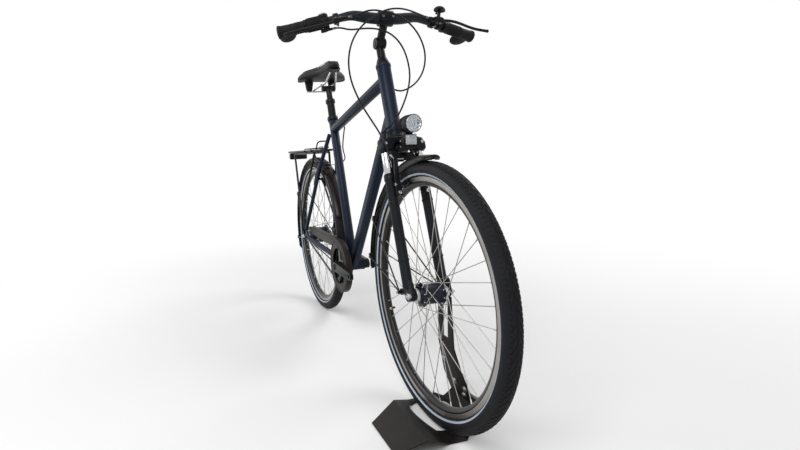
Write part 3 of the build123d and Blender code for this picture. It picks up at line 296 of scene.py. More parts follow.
# %% [markdown]
# The frame's own parts are exact but have knife-sharp edges, which no real part has. A merged copy is bevelled
# by a fraction of a millimetre and shaded smooth, and stands in for the part. That costs little and it makes
# the light catch every edge as on the real thing.
# %% Polished copies of frame parts
polished = set()


def polish(node, finish, body, width=0.0008, segments=2, angle=35):
    """A bevelled copy of a frame part in its finish."""
    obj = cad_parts[node].copy()
    obj.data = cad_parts[node].data.copy()
    bpy.context.scene.collection.objects.link(obj)
    obj.parent = None
    obj.matrix_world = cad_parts[node].matrix_world
    obj.name = node + "_piece"
    outward(obj)
    only(obj)
    bpy.ops.object.mode_set(mode="EDIT")
    bpy.ops.mesh.select_all(action="SELECT")
    bpy.ops.mesh.dissolve_limited(angle_limit=math.radians(0.6))
    bpy.ops.object.mode_set(mode="OBJECT")
    if width:
        soften(obj, width, segments, angle)
    else:
        smooth(obj)
    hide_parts(node)
    polished.add(node)
    return done(obj, finish, body)


def done(obj, finish, body, *nodes):
    """Gives a piece its finish, its body and the parts that it stands for."""
    obj.data.materials.clear()
    obj.data.materials.append(finish)
    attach(obj, body)
    if nodes:
        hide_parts(*nodes)
        polished.update(nodes)
    return obj


def repaint(obj, finish, chosen):
    """Gives the faces that chosen(centre, normal) picks a second finish."""
    obj.data.materials.append(finish)
    slot = len(obj.data.materials) - 1
    for face in obj.data.polygons:
        if chosen(face.center, face.normal):
            face.material_index = slot
    return obj


# %% [markdown]
# No real surface is one flat colour. Each finish below starts from Object coordinates, breaks its colour and its
# gloss up a little with noise, and adds a fine bump of the right scale: moulding grain on plastic, flakes in
# paint, turning marks on a rim.
# %% The base of every finish
def finish(name, colour, roughness, metallic=0.0, grain=400.0, depth=0.02, tone=0.18, coat=0.0,
           spread=0.08, shine=0.15):
    """A noise-broken surface, with the grain's size in cycles per metre."""
    made = bpy.data.materials.new(name)
    made.use_nodes = True
    nodes, links = made.node_tree.nodes, made.node_tree.links
    shader = nodes["Principled BSDF"]
    place = nodes.new("ShaderNodeTexCoord")
    cloud = nodes.new("ShaderNodeTexNoise")
    cloud.inputs["Scale"].default_value = 22.0
    cloud.inputs["Detail"].default_value = 6.0
    fine = nodes.new("ShaderNodeTexNoise")
    fine.inputs["Scale"].default_value = grain
    fine.inputs["Detail"].default_value = 3.0
    ramp = nodes.new("ShaderNodeValToRGB")
    ramp.color_ramp.elements[0].position, ramp.color_ramp.elements[1].position = 0.3, 0.72
    ramp.color_ramp.elements[0].color = (*[c * (1 - tone) for c in colour], 1)
    ramp.color_ramp.elements[1].color = (*[min(1, c * (1 + tone)) for c in colour], 1)
    gloss = nodes.new("ShaderNodeMapRange")
    gloss.inputs["To Min"].default_value = max(0.02, roughness - spread)
    gloss.inputs["To Max"].default_value = min(1, roughness + spread)
    bump = nodes.new("ShaderNodeBump")
    bump.inputs["Distance"].default_value = 0.001
    bump.inputs["Strength"].default_value = depth * 10
    for noise in (cloud, fine):
        links.new(place.outputs["Object"], noise.inputs["Vector"])
    links.new(cloud.outputs["Fac"], ramp.inputs["Fac"])
    links.new(ramp.outputs["Color"], shader.inputs["Base Color"])
    links.new(fine.outputs["Fac"], gloss.inputs["Value"])
    links.new(gloss.outputs["Result"], shader.inputs["Roughness"])
    links.new(fine.outputs["Fac"], bump.inputs["Height"])
    links.new(bump.outputs["Normal"], shader.inputs["Normal"])
    shader.inputs["Metallic"].default_value = metallic
    shader.inputs["Coat Weight"].default_value = coat
    shader.inputs["Coat Roughness"].default_value = 0.2
    shader.inputs["Specular IOR Level"].default_value = shine
    return made


# %% Plain finishes
frame_paint = finish("frame_paint", (0.0072, 0.0125, 0.0260), 0.42, 0.25, 2600, 0.004, 0.2, 0.03)
fork_paint = finish("fork_paint", (0.0060, 0.0068, 0.0092), 0.46, 0.1, 1800, 0.008, 0.2, 0.04)
black_alloy = finish("black_alloy", (0.0062, 0.0066, 0.0078), 0.4, 0.3, 1500, 0.01, 0.2, 0.05)
black_plastic = finish("black_plastic", (0.0065, 0.0065, 0.0072), 0.48, 0, 2400, 0.02)
black_steel = finish("black_steel", (0.0055, 0.0055, 0.0062), 0.38, 0.1, 1500, 0.012, 0.2, 0.08)
fender_plastic = finish("fender_plastic", (0.0085, 0.0070, 0.0062), 0.3, 0, 300, 0.004, 0.2, 0.12)
bar_paint = finish("bar_paint", (0.0130, 0.0160, 0.0210), 0.4, 0.45, 1800, 0.008, 0.15, 0.08)
post_paint = finish("post_paint", (0.0085, 0.0080, 0.0080), 0.4, 0.3, 1400, 0.01, 0.15, 0.08)
steel = finish("steel", (0.50, 0.50, 0.50), 0.30, 1.0, 900, 0.012, 0.12)
dark_steel = finish("dark_steel", (0.13, 0.13, 0.135), 0.38, 1.0, 900, 0.02, 0.2)
chrome = finish("chrome", (0.52, 0.52, 0.53), 0.12, 1.0, 600, 0.001, 0.04, 0, 0.03)
rubber = finish("rubber", (0.0075, 0.0078, 0.0090), 0.62, 0, 1500, 0.02, 0.2)
grip_rubber = finish("grip_rubber", (0.0085, 0.0088, 0.0098), 0.6, 0, 1900, 0.04, 0.22)
housing = finish("cable_housing", (0.0060, 0.0060, 0.0068), 0.36, 0, 900, 0.006, 0.15, 0.06)
stand_paint = finish("stand_paint", (0.0110, 0.0092, 0.0085), 0.5, 0.1, 1300, 0.03, 0.2, 0.0)
case_plastic = finish("case_plastic", (0.0150, 0.0125, 0.0110), 0.42, 0, 2200, 0.03, 0.16)
brass = finish("brass", (0.62, 0.47, 0.24), 0.3, 1.0, 800, 0.01, 0.1)
hub_paint = finish("hub_paint", (0.0100, 0.0130, 0.0210), 0.32, 0.5, 1400, 0.008, 0.15, 0.15)
print(len(bpy.data.materials), "finishes")
# %% [markdown]
# A touring tyre is a round casing with a tread of small blocks and a reflecting stripe round each side. The
# casing is one turned outline, open where it sits in the rim. One step of tread, seven rubber blocks, is
# modelled at the top of the wheel and copied round it. Real blocks give a broken edge against the light, which
# a bumped surface never does.
# %% Tyre casing
section = 0.022  # the tyre's section radius
wheel_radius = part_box("front_tyre")[1].z - front_axle.z
ring_radius = wheel_radius - section


def tyre_point(angle, radius):
    """Distance from the axle and sideways place of a point round the tyre's section, from its top."""
    return ring_radius + radius * math.cos(math.radians(angle)), radius * math.sin(math.radians(angle))


def casing(name, hub_frame):
    stops = [(-147, 0.0208), (-134, 0.0212), (-129, 0.0216), (-128, 0.0220), (-115, 0.0221),
             (-114, 0.0217), (-98, 0.0218), (-84, 0.0216), (-70, 0.0213), (-56, 0.0210),
             (-42, 0.0208), (-28, 0.0208), (-14, 0.0208), (0, 0.0208)]
    stops += [(-a, r) for a, r in reversed(stops[:-1])]
    profile = [tyre_point(a, r) for a, r in stops]
    low = profile[0][0] - 0.004
    profile = [(low, profile[0][1])] + profile + [(low, profile[-1][1]), (low, profile[0][1])]
    return smooth(turned(name, profile, hub_frame, 160), 30)


stripe = finish("reflecting_stripe", (0.36, 0.42, 0.50), 0.35, 0.15, 2600, 0.02, 0.1, 0.3)


def on_stripe(axle):
    """Picks the faces of the stripe by their distance from the axle and their side."""
    near, far = tyre_point(128, 0.022)[0], tyre_point(115, 0.0221)[0]

    def chosen(centre, normal):
        reach = math.hypot(centre.x - axle.x, centre.z - axle.z)
        return near - 0.0002 < reach < far + 0.0002 and abs(centre.y) > 0.0166
    return chosen


# %% Tread blocks
def tread_block(angle, length, width, slant, ahead, high=0.0011):
    """One rubber block on the tyre's top, turned round the section by angle and slanted in the tread."""
    bpy.ops.object.select_all(action="DESELECT")
    bpy.ops.mesh.primitive_cube_add(size=1, scale=(length, width, high + 0.0012))
    obj = bpy.context.object
    only(obj)
    bpy.ops.object.transform_apply(location=False, rotation=False, scale=True)
    bpy.ops.object.mode_set(mode="EDIT")
    bpy.ops.mesh.select_all(action="DESELECT")
    bpy.ops.object.mode_set(mode="OBJECT")
    for face in obj.data.polygons:
        face.select = face.normal.z > 0.9
    bpy.ops.object.mode_set(mode="EDIT")
    bpy.ops.transform.resize(value=(0.93, 0.80, 1))
    bpy.ops.object.mode_set(mode="OBJECT")
    r, y = tyre_point(angle, 0.0208 + high / 2 - 0.0006)
    tilt = Matrix.Rotation(math.radians(-angle), 4, "X")
    place = Matrix.Translation((ahead, y, r)) @ tilt @ Matrix.Rotation(math.radians(slant), 4, "Z")
    return settle(obj, place)


tread_steps = 96
tread_row = [
    tread_block(0, 0.0175, 0.0038, 0, 0.0),
    tread_block(13.5, 0.0180, 0.0046, 20, 0.005), tread_block(-13.5, 0.0180, 0.0046, -20, -0.005),
    tread_block(28, 0.0180, 0.0046, 14, -0.003), tread_block(-28, 0.0180, 0.0046, -14, 0.005),
    tread_block(42, 0.0110, 0.0056, 0, 0.006), tread_block(-42, 0.0110, 0.0056, 0, -0.003),
    tread_block(42, 0.0076, 0.0056, 0, -0.0055), tread_block(-42, 0.0076, 0.0056, 0, 0.0085),
]
tread_row = joined("tread_row", *tread_row)
print("tread row of", len(tread_row.data.polygons), "faces")


def tread(name, axle):
    """The row of blocks, copied round the wheel."""
    first = tread_row.copy()
    first.data = tread_row.data.copy()
    bpy.context.scene.collection.objects.link(first)
    settle(first, Matrix.Translation(axle))
    return ring_of(name, first, tread_steps, axle)


for name, axle, hub_frame in (("front", front_axle, front_hub_frame),
                              ("rear", rear_axle, rear_hub_frame)):
    tyre = casing(name + "_tyre_casing", hub_frame)
    tyre = joined(name + "_tyre_piece", tyre, tread(name + "_tread", axle))
    done(tyre, rubber, name + "_wheel", name + "_tyre")
    repaint(tyre, stripe, on_stripe(axle))
    print(tyre.name, len(tyre.data.polygons), "faces")
bpy.data.objects.remove(tread_row)

# %% [markdown]
# The rim is a hollow black extrusion whose sides are machined bright where the brake pads rub. Its outline has
# a hooked edge, a flat side and a rounded bed. The rubbed band shows fine rings, so its bump comes from a wave
# that is centred on the axle.
# %% Rims
def machined(name, axle, colour=(0.36, 0.34, 0.32), rings=2300.0, rough=0.34):
    """Bare metal with turning rings about a wheel's axle."""
    made = finish(name, colour, rough, 1.0, 700, 0.006, 0.14)
    nodes, links = made.node_tree.nodes, made.node_tree.links
    where = next(n for n in nodes if n.type == "TEX_COORD")
    centred = nodes.new("ShaderNodeVectorMath")
    centred.operation = "SUBTRACT"
    centred.inputs[1].default_value = axle
    flat = nodes.new("ShaderNodeVectorMath")
    flat.operation = "MULTIPLY"
    flat.inputs[1].default_value = (1, 0, 1)
    reach = nodes.new("ShaderNodeVectorMath")
    reach.operation = "LENGTH"
    turns = nodes.new("ShaderNodeMath")
    turns.operation = "MULTIPLY"
    turns.inputs[1].default_value = rings
    wave = nodes.new("ShaderNodeMath")
    wave.operation = "SINE"
    bump = nodes.new("ShaderNodeBump")
    bump.inputs["Strength"].default_value, bump.inputs["Distance"].default_value = 0.25, 0.0002
    links.new(where.outputs["Object"], centred.inputs[0])
    links.new(centred.outputs[0], flat.inputs[0])
    links.new(flat.outputs[0], reach.inputs[0])
    links.new(reach.outputs["Value"], turns.inputs[0])
    links.new(turns.outputs[0], wave.inputs[0])
    links.new(wave.outputs[0], bump.inputs["Height"])
    links.new(bump.outputs["Normal"], nodes["Principled BSDF"].inputs["Normal"])
    return made


rim_black = finish("rim_black", (0.009, 0.009, 0.010), 0.36, 0.5, 1300, 0.008, 0.15, 0.3)
rim_outline = [
    (0.3160, 0.0112), (0.3160, 0.0121), (0.3154, 0.0125), (0.3040, 0.0125), (0.3034, 0.0123),
    (0.3022, 0.0125), (0.3000, 0.0119), (0.2962, 0.0098), (0.2926, 0.0074), (0.2906, 0.0047),
    (0.2900, 0.0018)]
rim_outline += [(r, -y) for r, y in reversed(rim_outline)]
rim_outline += [(0.3085, -0.0108), (0.3060, -0.0080), (0.3060, 0.0080), (0.3085, 0.0108),
                rim_outline[0]]


def on_track(axle):
    def chosen(centre, normal):
        reach = math.hypot(centre.x - axle.x, centre.z - axle.z)
        return 0.3040 < reach < 0.3155 and abs(normal.y) > 0.9 and abs(centre.y) > 0.0122
    return chosen


for name, axle, hub_frame in (("front", front_axle, front_hub_frame),
                              ("rear", rear_axle, rear_hub_frame)):
    rim = smooth(turned(name + "_rim_piece", rim_outline, hub_frame, 144), 28)
    done(rim, rim_black, name + "_wheel", name + "_rim")
    repaint(rim, machined(name + "_brake_track", axle), on_track(axle))
    # the valve: a threaded stem with a thin nut and a cap
    stem = turned("valve_stem", [(0, 0), (0.0026, 0), (0.0026, 0.020), (0.0021, 0.0205),
                                 (0.0021, 0.028), (0, 0.028)],
                  origin, 16)
    nut = turned("valve_nut", [(0, 0.001), (0.0042, 0.001), (0.0042, 0.003), (0.0026, 0.0038),
                               (0, 0.0038)],
                 origin, 12)
    cap = turned("valve_cap", [(0, 0.020), (0.0034, 0.020), (0.0036, 0.028), (0.0028, 0.033),
                               (0, 0.0335)],
                 origin, 16)
    turn = math.radians(205)
    foot = axle + Vector((0.2915 * math.cos(turn), 0, 0.2915 * math.sin(turn)))
    at_rim = pointing(foot, axle)
    done(settle(smooth(joined(name + "_valve", stem, nut)), at_rim), brass, name + "_wheel")
    done(settle(smooth(cap), at_rim), black_plastic, name + "_wheel").name = name + "_valve_cap"
print("rims and valves made")

# %% [markdown]
# Thirty-six spokes run from the hub's flanges to the rim, in four families: two sides, and on each side one
# layer that pulls forward and one that pulls back. Each family has one modelled spoke, with its mushroom head
# at the flange and its brass nipple at the rim, which is then copied nine times round the axle.
# %% Spokes
spoke_steel = finish("spoke_steel", (0.36, 0.35, 0.34), 0.3, 1.0, 900, 0.006, 0.12)
nipple_metal = finish("nipple_metal", (0.42, 0.41, 0.40), 0.34, 1.0, 900, 0.01, 0.12)


def spoke_family(axle, flange_radius, flange_y, side, layer, number):
    """One spoke of a family with its head and nipple, in the places that the frame's spokes have."""
    rim_angle = math.radians(10 * number)
    hub_angle = rim_angle + layer * math.radians(62)
    start = flange_radius + 0.0013
    a = axle + Vector((start * math.cos(hub_angle), flange_y + 0.002 * layer,
                       start * math.sin(hub_angle)))
    b = axle + Vector((0.2897 * math.cos(rim_angle), side * 0.0015 + 0.0014 * layer,
                       0.2897 * math.sin(rim_angle)))
    wire = rod("spoke", a, b, 0.00105, corners=8)
    nipple = rod("nipple", b, b + (a - b).normalized() * 0.011, 0.0023, 0.0017, corners=8)
    inward = Vector((axle.x, a.y, axle.z)) - a
    bend = a + inward.normalized() * 0.0042
    head = rod("head", Vector((bend.x, flange_y + 0.0058 * layer, bend.z)),
               Vector((bend.x, flange_y + 0.0040 * layer, bend.z)), 0.0013, 0.0023, corners=8)
    elbow = rod("elbow", a + (b - a).normalized() * 0.001, bend, 0.00105, corners=8)
    return smooth(joined("spoke", wire, head, elbow), 50), smooth(nipple, 50)


for name, axle, flange, left, right_side in (
        ("front", front_axle, 0.034, 0.028, -0.028), ("rear", rear_axle, 0.046, 0.031, -0.028)):
    wires, ends = [], []
    for number in range(4):
        side = 1 if number % 2 else -1
        layer = 1 if (number // 2) % 2 else -1
        wire, nipple = spoke_family(axle, flange, left if side > 0 else right_side, side, layer,
                                    number)
        wires.append(ring_of("spokes", wire, 9, axle))
        ends.append(ring_of("nipples", nipple, 9, axle))
    done(joined(name + "_spokes_piece", *wires), spoke_steel, name + "_wheel", name + "_spokes")
    done(joined(name + "_nipples", *ends), nipple_metal, name + "_wheel")
print("spokes made")

# %% [markdown]
# The front hub is a dynamo: a broad shell with a step beside each flange. The rear hub is a gear hub, fatter,
# with its sprocket outside the right flange. Both are turned outlines with small radii at every step, as a
# lathe and a polishing wheel leave them.
# %% Hubs
def shell(name, outline, hub_frame, colour, body, *nodes):
    obj = soften(turned(name, outline, hub_frame, 72), 0.0009, 2, 30)
    return done(obj, colour, body, *nodes)


shell("front_hub_piece", [
    (0.0054, 0.0370), (0.0150, 0.0370), (0.0160, 0.0350), (0.0160, 0.0322), (0.0230, 0.0316),
    (0.0330, 0.0298), (0.0340, 0.0288), (0.0340, 0.0272), (0.0320, 0.0262), (0.0288, 0.0250),
    (0.0288, 0.0180), (0.0276, 0.0172), (0.0276, -0.0172), (0.0288, -0.0180), (0.0288, -0.0250),
    (0.0320, -0.0262), (0.0340, -0.0272), (0.0340, -0.0288), (0.0330, -0.0298), (0.0245, -0.0316),
    (0.0238, -0.0370), (0.0054, -0.0370), (0.0054, 0.0370)], front_hub_frame, hub_paint,
    "front_wheel", "front_hub")
shell("rear_hub_piece", [
    (0.0054, 0.0520), (0.0170, 0.0520), (0.0200, 0.0500), (0.0215, 0.0420), (0.0300, 0.0370),
    (0.0440, 0.0338), (0.0460, 0.0322), (0.0460, 0.0298), (0.0436, 0.0284), (0.0382, 0.0262),
    (0.0376, 0.0180), (0.0368, 0.0170), (0.0368, -0.0170), (0.0376, -0.0180), (0.0382, -0.0240),
    (0.0436, -0.0256), (0.0460, -0.0268), (0.0460, -0.0292), (0.0440, -0.0308), (0.0330, -0.0336),
    (0.0300, -0.0440), (0.0054, -0.0440), (0.0054, 0.0520)], rear_hub_frame, hub_paint,
    "rear_wheel", "rear_hub")

# %% Sprocket
def toothed(name, teeth, root, tip, bore, thickness, place):
    """A toothed wheel: one tooth's arc of outline repeated, with an open middle."""
    outline = []
    for k in range(teeth):
        for part, r in ((-0.34, root), (-0.14, tip), (0.14, tip), (0.34, root)):
            a = 2 * math.pi * (k + part) / teeth
            outline.append((r * math.cos(a), r * math.sin(a)))
    outline.append(outline[0])
    wheel = plate(name, outline, thickness, Matrix.Translation((0, 0, -thickness / 2)))
    bpy.ops.object.select_all(action="DESELECT")
    bpy.ops.mesh.primitive_cylinder_add(vertices=48, radius=bore, depth=thickness * 3)
    punch = bpy.context.object
    modify(wheel, "BOOLEAN", operation="DIFFERENCE", object=punch)
    bpy.data.objects.remove(punch)
    return smooth(settle(wheel, place), 30)


sprocket_place = rear_hub_frame @ Matrix.Translation((0, 0, -0.048))
sprocket = toothed("sprocket", 19, 0.0340, 0.0384, 0.014, 0.0024, sprocket_place)
driver = turned("driver", [
    (0.0054, -0.0560), (0.0190, -0.0560), (0.0200, -0.0550), (0.0200, -0.0440), (0.0054, -0.0440),
    (0.0054, -0.0560)], rear_hub_frame, 40)
done(joined("sprocket", sprocket, driver), dark_steel, "rear_wheel")
print("hubs made")

# %% [markdown]
# The handlebar sweeps back, so each grip has its own slanted frame: Z runs inboard from the bar's end and X
# points forward. Grips, levers, shifter and bell are all placed in that frame, as they are clamped on the real
# bar.
# %% Frames of the bar and the grips
stem_clamp, stem_pivot = Vector((0.065, 0, 0.809)), Vector((0.002, 0,
                                                            0.767))  # in the steering frame
bar_clamp = steer @ stem_clamp
bar_half = 0.313
bar_knots = [(0, 0.040, 0), (-0.006, 0.102, 0.009), (-0.041, bar_half, -0.035)]


def bar_line(side):
    """Clamp, bend and end of one half of the bar's centre line."""
    return [bar_clamp + Vector((x, side * y, z)) for x, y, z in bar_knots]


def grip_frame(side):
    bend, end = bar_line(side)[1:]
    inboard = (bend - end).normalized()
    ahead = Vector((1, 0, 0))
    ahead = (ahead - inboard * ahead.dot(inboard)).normalized()
    return Matrix.Translation(end) @ Matrix((ahead, inboard.cross(ahead),
                                             inboard)).transposed().to_4x4()


left_grip, right_grip = grip_frame(1), grip_frame(-1)


def upward(place):
    """A turn about the bar that brings local X to the top."""
    up_here = place.inverted().to_3x3() @ Vector((0, 0, 1))
    return place @ Matrix.Rotation(math.atan2(up_here.y, up_here.x), 4, "Z")


left_top, right_top = upward(left_grip), upward(right_grip)
print("bar ends", tuple(left_grip.translation), tuple(right_grip.translation))

# %% [markdown]
# The bar is one tube, drawn thick in the middle for its clamp and thin where the grips go. Rings of vertices
# are strung along its centre line and joined into a skin, so both the bends and the taper are smooth.
# %% Handlebar
def bar_spot(y):
    """A point of the bar's centre line, with its bends rounded over 30 mm."""
    knots = [(0, 0, 0)] + bar_knots

    def straight(reach):
        for (x0, y0, z0), (x1, y1, z1) in zip(knots, knots[1:]):
            if reach <= y1 or y1 == bar_half:
                t = (reach - y0) / (y1 - y0)
                return Vector((x0 + (x1 - x0) * t, 0, z0 + (z1 - z0) * t))

    spread = min(0.015, bar_half - abs(y)) if abs(y) > bar_half - 0.015 else 0.015
    near = [straight(abs(abs(y) + spread * k / 4)) for k in range(-4, 5)]
    middle = sum(near, Vector()) / len(near)
    return bar_clamp + Vector((middle.x, y, middle.z))


bar_rings, corners = [], 40
for k in range(121):
    y = -bar_half + 0.626 * k / 120
    spot = bar_spot(y)
    ahead_spot = bar_spot(y + 0.001) if k < 120 else spot * 2 - bar_spot(y - 0.001)
    share = min(1.0, max(0.0, (abs(y) - 0.045) / 0.110))
    radius = 0.0111 + 0.0048 * (1 - share * share * (3 - 2 * share))
    turn = pointing(spot, ahead_spot)
    bar_rings.append([
        turn @ Vector((radius * math.cos(2 * math.pi * j / corners),
                       radius * math.sin(2 * math.pi * j / corners), 0))
        for j in range(corners)])
bar_piece = skinned("handlebar_piece", bar_rings)
done(smooth(bar_piece, 50), bar_paint, "front", "handlebar")
print("handlebar", len(bar_piece.data.polygons), "faces")

# %% [markdown]
# A comfort grip is a round rubber sleeve with a flat wing for the heel of the hand. The sleeve and the wing
# start as two shapes; a voxel remesh melts them into one skin, which is then smoothed, as rubber leaves a
# mould. Thin ribs and a clamp ring go round it afterwards.
# %% Grips
def grip(side, length):
    place = left_grip if side > 0 else right_grip
    sleeve = turned("sleeve", [(0.0112, -0.004), (0.0165, -0.004), (0.0183, -0.0025),
                               (0.0183, 0.0035), (0.0168, 0.0065), (0.0160, 0.030),
                               (0.0160, length - 0.022), (0.0166, length - 0.006),
                               (0.0112, length - 0.006), (0.0112, -0.004)],
                    origin, 48)
    bpy.ops.object.select_all(action="DESELECT")
    bpy.ops.mesh.primitive_cube_add(size=1, location=(-0.021, 0, 0.026),
                                    scale=(0.084, 0.030, 0.064))
    wing = bpy.context.object
    modify(wing, "SUBSURF", levels=3)
    skin = joined("grip", sleeve, settle(wing, Matrix.Rotation(side * math.radians(20), 4, "Z")))
    modify(skin, "REMESH", mode="VOXEL", voxel_size=0.0011)
    modify(skin, "SMOOTH", factor=0.5, iterations=10)
    modify(skin, "DECIMATE", ratio=0.35)
    smooth(skin, 60)
    ribs = []
    for k in range(int((length - 0.062) / 0.0052)):
        bpy.ops.object.select_all(action="DESELECT")
        bpy.ops.mesh.primitive_torus_add(major_radius=0.0160, minor_radius=0.0012,
                                         major_segments=40,
                                         minor_segments=8, location=(0, 0, 0.050 + 0.0052 * k))
        ribs.append(smooth(settle(bpy.context.object), 60))
    plug = soften(turned("plug", [(0, -0.0052), (0.0105, -0.0052), (0.0118, -0.0045),
                                  (0.0118, -0.001), (0, -0.001)], origin, 32), 0.0003)
    body = joined("grip", skin, plug, *ribs)
    settle(body, place)
    ring = soften(turned("ring", [(0.0113, length - 0.006), (0.0172, length - 0.006),
                                  (0.0180, length - 0.005), (0.0180, length - 0.0006),
                                  (0.0172, length), (0.0113, length), (0.0113, length - 0.006)],
                                  place, 48), 0.0003)
    bolt = rod("bolt", place @ Vector((0.0150, -0.008 * side, length - 0.003)),
               place @ Vector((0.0205, -0.008 * side, length - 0.003)), 0.0024, corners=6)
    return body, joined("ring", ring, bolt)


left_skin, left_ring = grip(1, 0.118)
right_skin, right_ring = grip(-1, 0.080)
done(joined("grips_piece", left_skin, right_skin), grip_rubber, "front", "grips")
done(joined("grip_rings", left_ring, right_ring), black_alloy, "front")

# %% [markdown]
# A brake lever is a clamp on the bar, a body with the pivot, and a cast blade with an oval section and a ball
# at its end. The blade is a smooth tube that is then widened across, which gives the oval all along it.
# %% Brake levers
lever_lift = {1: 2, -1: -18}  # degrees up about the bar
lever_at = {1: 0.150, -1: 0.163}  # metres inboard of the bar's end


def lever_frame(side):
    turn = Matrix.Rotation(math.radians(side * lever_lift[side]), 4, "Z")
    return (left_grip if side > 0 else right_grip) @ turn


def lever(side):
    here = lever_frame(side) @ Matrix.Translation((0, 0, lever_at[side]))
    path = [(0.034, 0, 0.000), (0.043, 0, -0.010), (0.055, 0, -0.030), (0.0575, 0, -0.055),
            (0.0555, 0, -0.085), (0.056, 0, -0.112), (0.062, 0, -0.134), (0.0705, 0, -0.153)]
    blade = hose("blade", path, 0.0042, 8)
    bpy.ops.object.select_all(action="DESELECT")
    bpy.ops.mesh.primitive_uv_sphere_add(segments=20, ring_count=12, radius=0.0052,
                                         location=path[-1])
    ball = smooth(settle(bpy.context.object), 60)
    blade = joined("blade", blade, ball)
    blade.scale = (1, 1.75, 1)
    settle(blade, here)
    clamp = soften(turned("clamp", [
        (0.0113, 0), (0.0150, 0), (0.0160, 0.001), (0.0160, 0.013), (0.0150, 0.014),
        (0.0113, 0.014), (0.0113, 0)], here, 48), 0.0004)
    body = block("body", (0.030, 0.0135, 0.033), here @ Matrix.Translation((0.0245, 0, 0.0065)),
                 0.0042)
    cheek = block("cheek", (0.016, 0.0165, 0.016), here @ Matrix.Translation((0.033, 0, 0.000)),
                  0.003)
    pin = rod("pin", here @ Vector((0.034, -0.0096, 0.0)), here @ Vector((0.034, 0.0096, 0.0)),
              0.0036)
    bolt = rod("bolt", here @ Vector((0.010, -0.0155 * side, 0.007)),
               here @ Vector((0.022, -0.0155 * side, 0.007)),
               0.0032, corners=16)
    adjuster = turned("adjuster", [(0, 0.020), (0.0052, 0.020), (0.0060, 0.021), (0.0060, 0.029),
                                   (0.0050, 0.030), (0.0042, 0.0365), (0.0026, 0.0370),
                                   (0, 0.0370)],
                      here @ Matrix.Translation((0.024, 0, 0)), 12)
    parts = [clamp, body, cheek, smooth(adjuster, 20)]
    return blade, joined("lever", *parts), joined("pins", soften(pin, 0.0005), soften(bolt, 0.0005))


left_lever, right_lever = lever(1), lever(-1)
lever_blades = joined("lever_blades", left_lever[0], right_lever[0])
lever_bodies = joined("brake_levers_piece", left_lever[1], right_lever[1])
done(lever_bodies, black_alloy, "front", "brake_levers")
done(lever_blades, black_alloy, "front")
done(joined("lever_pins", left_lever[2], right_lever[2]), dark_steel, "front")

# %% [markdown]
# The hub gear's shifter is a ribbed rubber sleeve that turns, a plastic housing beside it and a clear domed
# window on top. The ribs are one thin rounded bar copied round the sleeve.
# %% Twist shifter
start, sleeve_length = 0.081, 0.046
sleeve = soften(turned("sleeve", [(0.0113, start), (0.0178, start), (0.0186, start + 0.001),
                                  (0.0186, start + sleeve_length), (0.0113, start + sleeve_length),
                                  (0.0113, start)], origin, 48), 0.0003)
rib = rod("rib", (0.0184, 0, start + 0.004), (0.0184, 0, start + sleeve_length - 0.006), 0.0013,
          corners=8)
ribs = ring_of("ribs", smooth(rib, 60), 22, Vector((0, 0, 0)), (0, 0, 1))
done(settle(joined("shifter_sleeve", sleeve, ribs), right_top), grip_rubber, "front")
shifter_box = soften(turned("shifter_box", [
    (0.0113, start + sleeve_length), (0.0170, start + sleeve_length),
    (0.0176, start + sleeve_length + 0.003), (0.0170, start + 0.063), (0.0150, start + 0.064),
    (0.0113, start + 0.064), (0.0113, start + sleeve_length)], origin, 48), 0.0006)
pod = turned("pod", [(0, 0.008), (0.0152, 0.008), (0.0160, 0.012), (0.0158, 0.0180),
                     (0.0140, 0.0195), (0, 0.0195)],
             Matrix.Translation((0, 0, start + 0.052)) @ Matrix.Rotation(math.radians(90), 4, "Y"),
             40)
outlet = turned("outlet", [(0, 0.120), (0.0050, 0.120), (0.0054, 0.122), (0.0054, 0.136),
                           (0.0040, 0.139), (0.0036, 0.154), (0.0028, 0.1541), (0, 0.1541)],
                           Matrix.Translation((-0.024, 0, 0)), 20)
neck = block("neck", (0.016, 0.008, 0.018), Matrix.Translation((-0.016, 0, 0.138)), 0.002)
shifter = joined("twist_shifter_piece", shifter_box, soften(pod, 0.0006), smooth(outlet), neck)
done(settle(shifter, right_top), black_plastic, "front", "twist_shifter")
glass = finish("clear_dome", (0.75, 0.8, 0.84), 0.08, 0, 300, 0.001, 0.05, 0, 0.03)
glass.node_tree.nodes["Principled BSDF"].inputs["Transmission Weight"].default_value = 0.55
dome = turned("dome", [
    (0, 0.0195), (0.0128, 0.0195), (0.0130, 0.0205), (0.0112, 0.0228), (0.0070, 0.0244),
    (0, 0.0250)], Matrix.Translation((0, 0, start + 0.052)) @ Matrix.Rotation(
                           math.radians(90), 4, "Y"), 40)
done(settle(smooth(dome, 60), right_top), glass, "front").name = "shifter_window"

# %% [markdown]
# The bell is a small pressed dome with rings round its crown, on a post and a band. Its striker is a thin
# sprung arm with a knob.
# %% Bell
band = soften(turned("band", [
    (0.0116, 0.130), (0.0140, 0.130), (0.0145, 0.1305), (0.0145, 0.1375), (0.0140, 0.138),
    (0.0116, 0.138), (0.0116, 0.130)], origin, 40), 0.0003)
crown = Matrix.Translation((0, 0, 0.1345)) @ Matrix.Rotation(math.radians(90), 4, "Y")
dome_line = [(0.0165, 0.0268), (0.0180, 0.0272), (0.0180, 0.0290), (0.0174, 0.0312),
             (0.0164, 0.0320), (0.0160, 0.0332), (0.0146, 0.0342), (0.0140, 0.0353),
             (0.0122, 0.0360), (0.0115, 0.0369), (0.0090, 0.0375), (0.0080, 0.0382),
             (0.0045, 0.0385), (0, 0.0386)]
dome = turned("bell_dome", [(r, z + 0.016) for r,
                            z in dome_line + [(0, 0.0284), (0.0140, 0.0284), dome_line[0]]],
              crown, 56)
